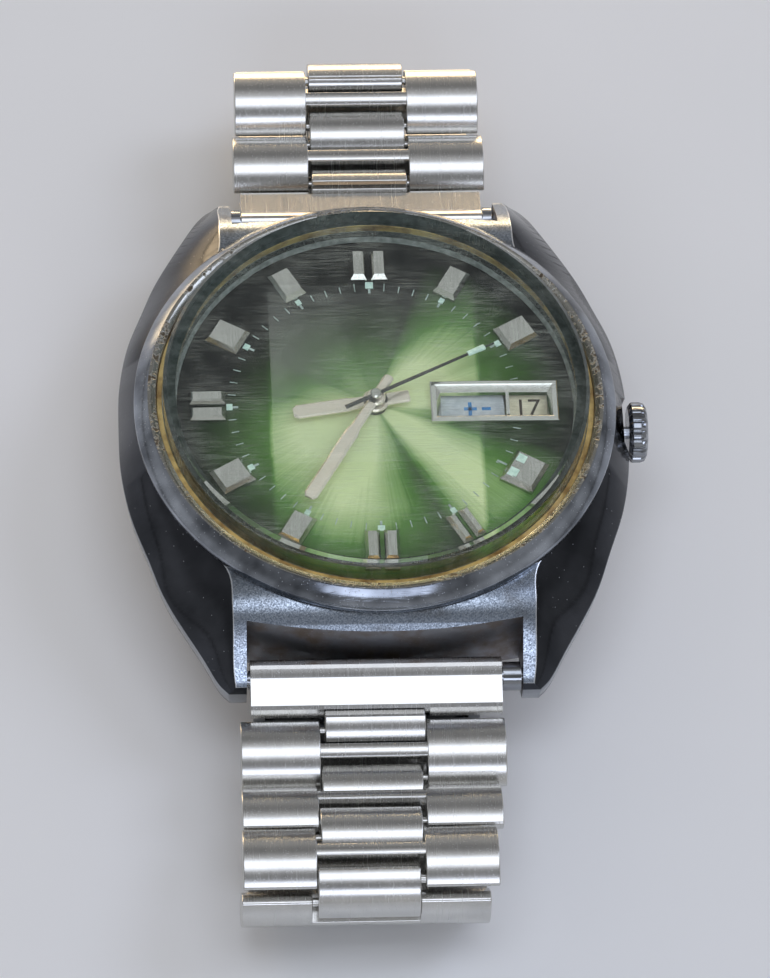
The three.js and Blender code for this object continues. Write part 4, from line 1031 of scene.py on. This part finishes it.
def wideLinkMesh(width, crest):
    notch, half, pitch = linkShape["notch"], width / 2, linkShape["pitch"]
    outline = pillowOutline(crest)
    bm = acrossX(outline, -half, -notch)
    addTo(bm, acrossX(outline, notch, half))
    low, high = pitch / 2 - linkShape["webHalf"], pitch / 2 + linkShape["webHalf"]
    web = [(high, -0.8), *crestArc(low, high, crest - 0.12, crest - 0.01, 7), (low, -0.8)]
    addTo(bm, acrossX(web, -notch - 0.1, notch + 0.1))
    for y in (0, pitch):
        addTo(bm, rodAcross(linkShape["pin"], -notch - 0.2, notch + 0.2, y, 0, 16))
    return bm


def centreLinkMesh(first, crest):  # the first one starts with a low eye that slips under the end piece
    half, pitch, over = linkShape["centreWidth"] / 2, linkShape["centrePitch"], linkShape["centreOver"]
    radius, tab = linkShape["eye"], linkShape["tab"]
    back = crestArc(-over, pitch + over, 0.45, crest, 21)
    outline = arcPoints(pitch, 0, radius, -90, 15, 12)
    if first:
        outline += [p for p in back if p[0] > 0.9] + [(0.8, crest - 0.25), (0.76, tab)]
        outline += arcPoints(0, 0, tab, 95, 270, 14)
    else:
        outline += back + arcPoints(0, 0, radius, 165, 270, 12)
    return acrossX(outline, -half, half)


def endPieceMesh():
    half, notch = linkShape["endWidth"] / 2, linkShape["notch"]
    reach, drop, tab = linkShape["endReach"], linkShape["endDrop"], linkShape["tab"]
    crest = [(reach + 0.1, 0.45), (0.4, 0.98), (0.28, 1.06), (0.1, 1.16), (-0.15, 1.27),
             *arcPoints(0, 0, 1.38, 108, 235, 20)]
    lip = [(0.4, -1.15), (reach - 0.5, -1.15), (reach + 0.4, -0.8), (reach + 0.54, -0.2),
           (reach + 0.35, 0.3)]
    wings = acrossX(crest + lip, -half, -notch)
    addTo(wings, acrossX(crest + lip, notch, half))
    pocket, roof = reach - tab - 0.3, tab - drop + 0.12
    middle = [(0.4, -1.15), (pocket, -1.15), (pocket, roof), (reach + 0.35, roof)]
    addTo(wings, acrossX(crest + middle, -notch, notch))
    addTo(wings, rodAcross(linkShape["pin"], -notch - 0.2, notch + 0.2, reach, -drop, 16))
    return wings


def placePiece(name, bm, place, node, smoothAngle=30):
    bmesh.ops.remove_doubles(bm, verts=bm.verts, dist=1e-7)
    bm.transform(place)
    piece = meshObject(name, bm, [satinSteel], smoothAngle)
    softenEdges(piece, linkShape["worn"])
    return finishPiece(piece, node)


def buildStraps():
    for side in ("6", "12"):
        placePiece(f"endPiece{side}", endPieceMesh(), strapFrame(side, 0), f"end_piece_{side}", 11)
        for k in range(1, 15):
            number = (k + 1) // 2
            folded = number > 4  # these lie on the table, so their backs stay low
            if k % 2:
                kind, crest = "centre", linkShape["flatCrest" if folded else "centreCrest"]
                bm = centreLinkMesh(number == 1, crest)
            else:
                kind, crest = "wide", linkShape["flatCrest" if folded else "crest"]
                bm = wideLinkMesh(linkShape["firstWidth"] - linkShape["taper"] * (number - 1), crest)
            placePiece(f"{kind}Link{side}n{number}", bm, strapFrame(side, k), f"{kind}_link_{side}_{number}")


buildStraps()
print("bracelet built")


cadFinish = {"nickel_plate": nickel, "movement_brass": brass, "brushed_steel": satinSteel,
             "polished_steel": sideMirror}
for nodeName, cadNode in frame["nodes"].items():
    if cadNode.hide_render:
        continue
    cadNode.data.materials.clear()
    cadNode.data.materials.append(cadFinish[slotOfNode[nodeName]])
    if nodeName.startswith("clasp"):
        softenEdges(cadNode, 0.08, 2, 40)

print("all pieces built")
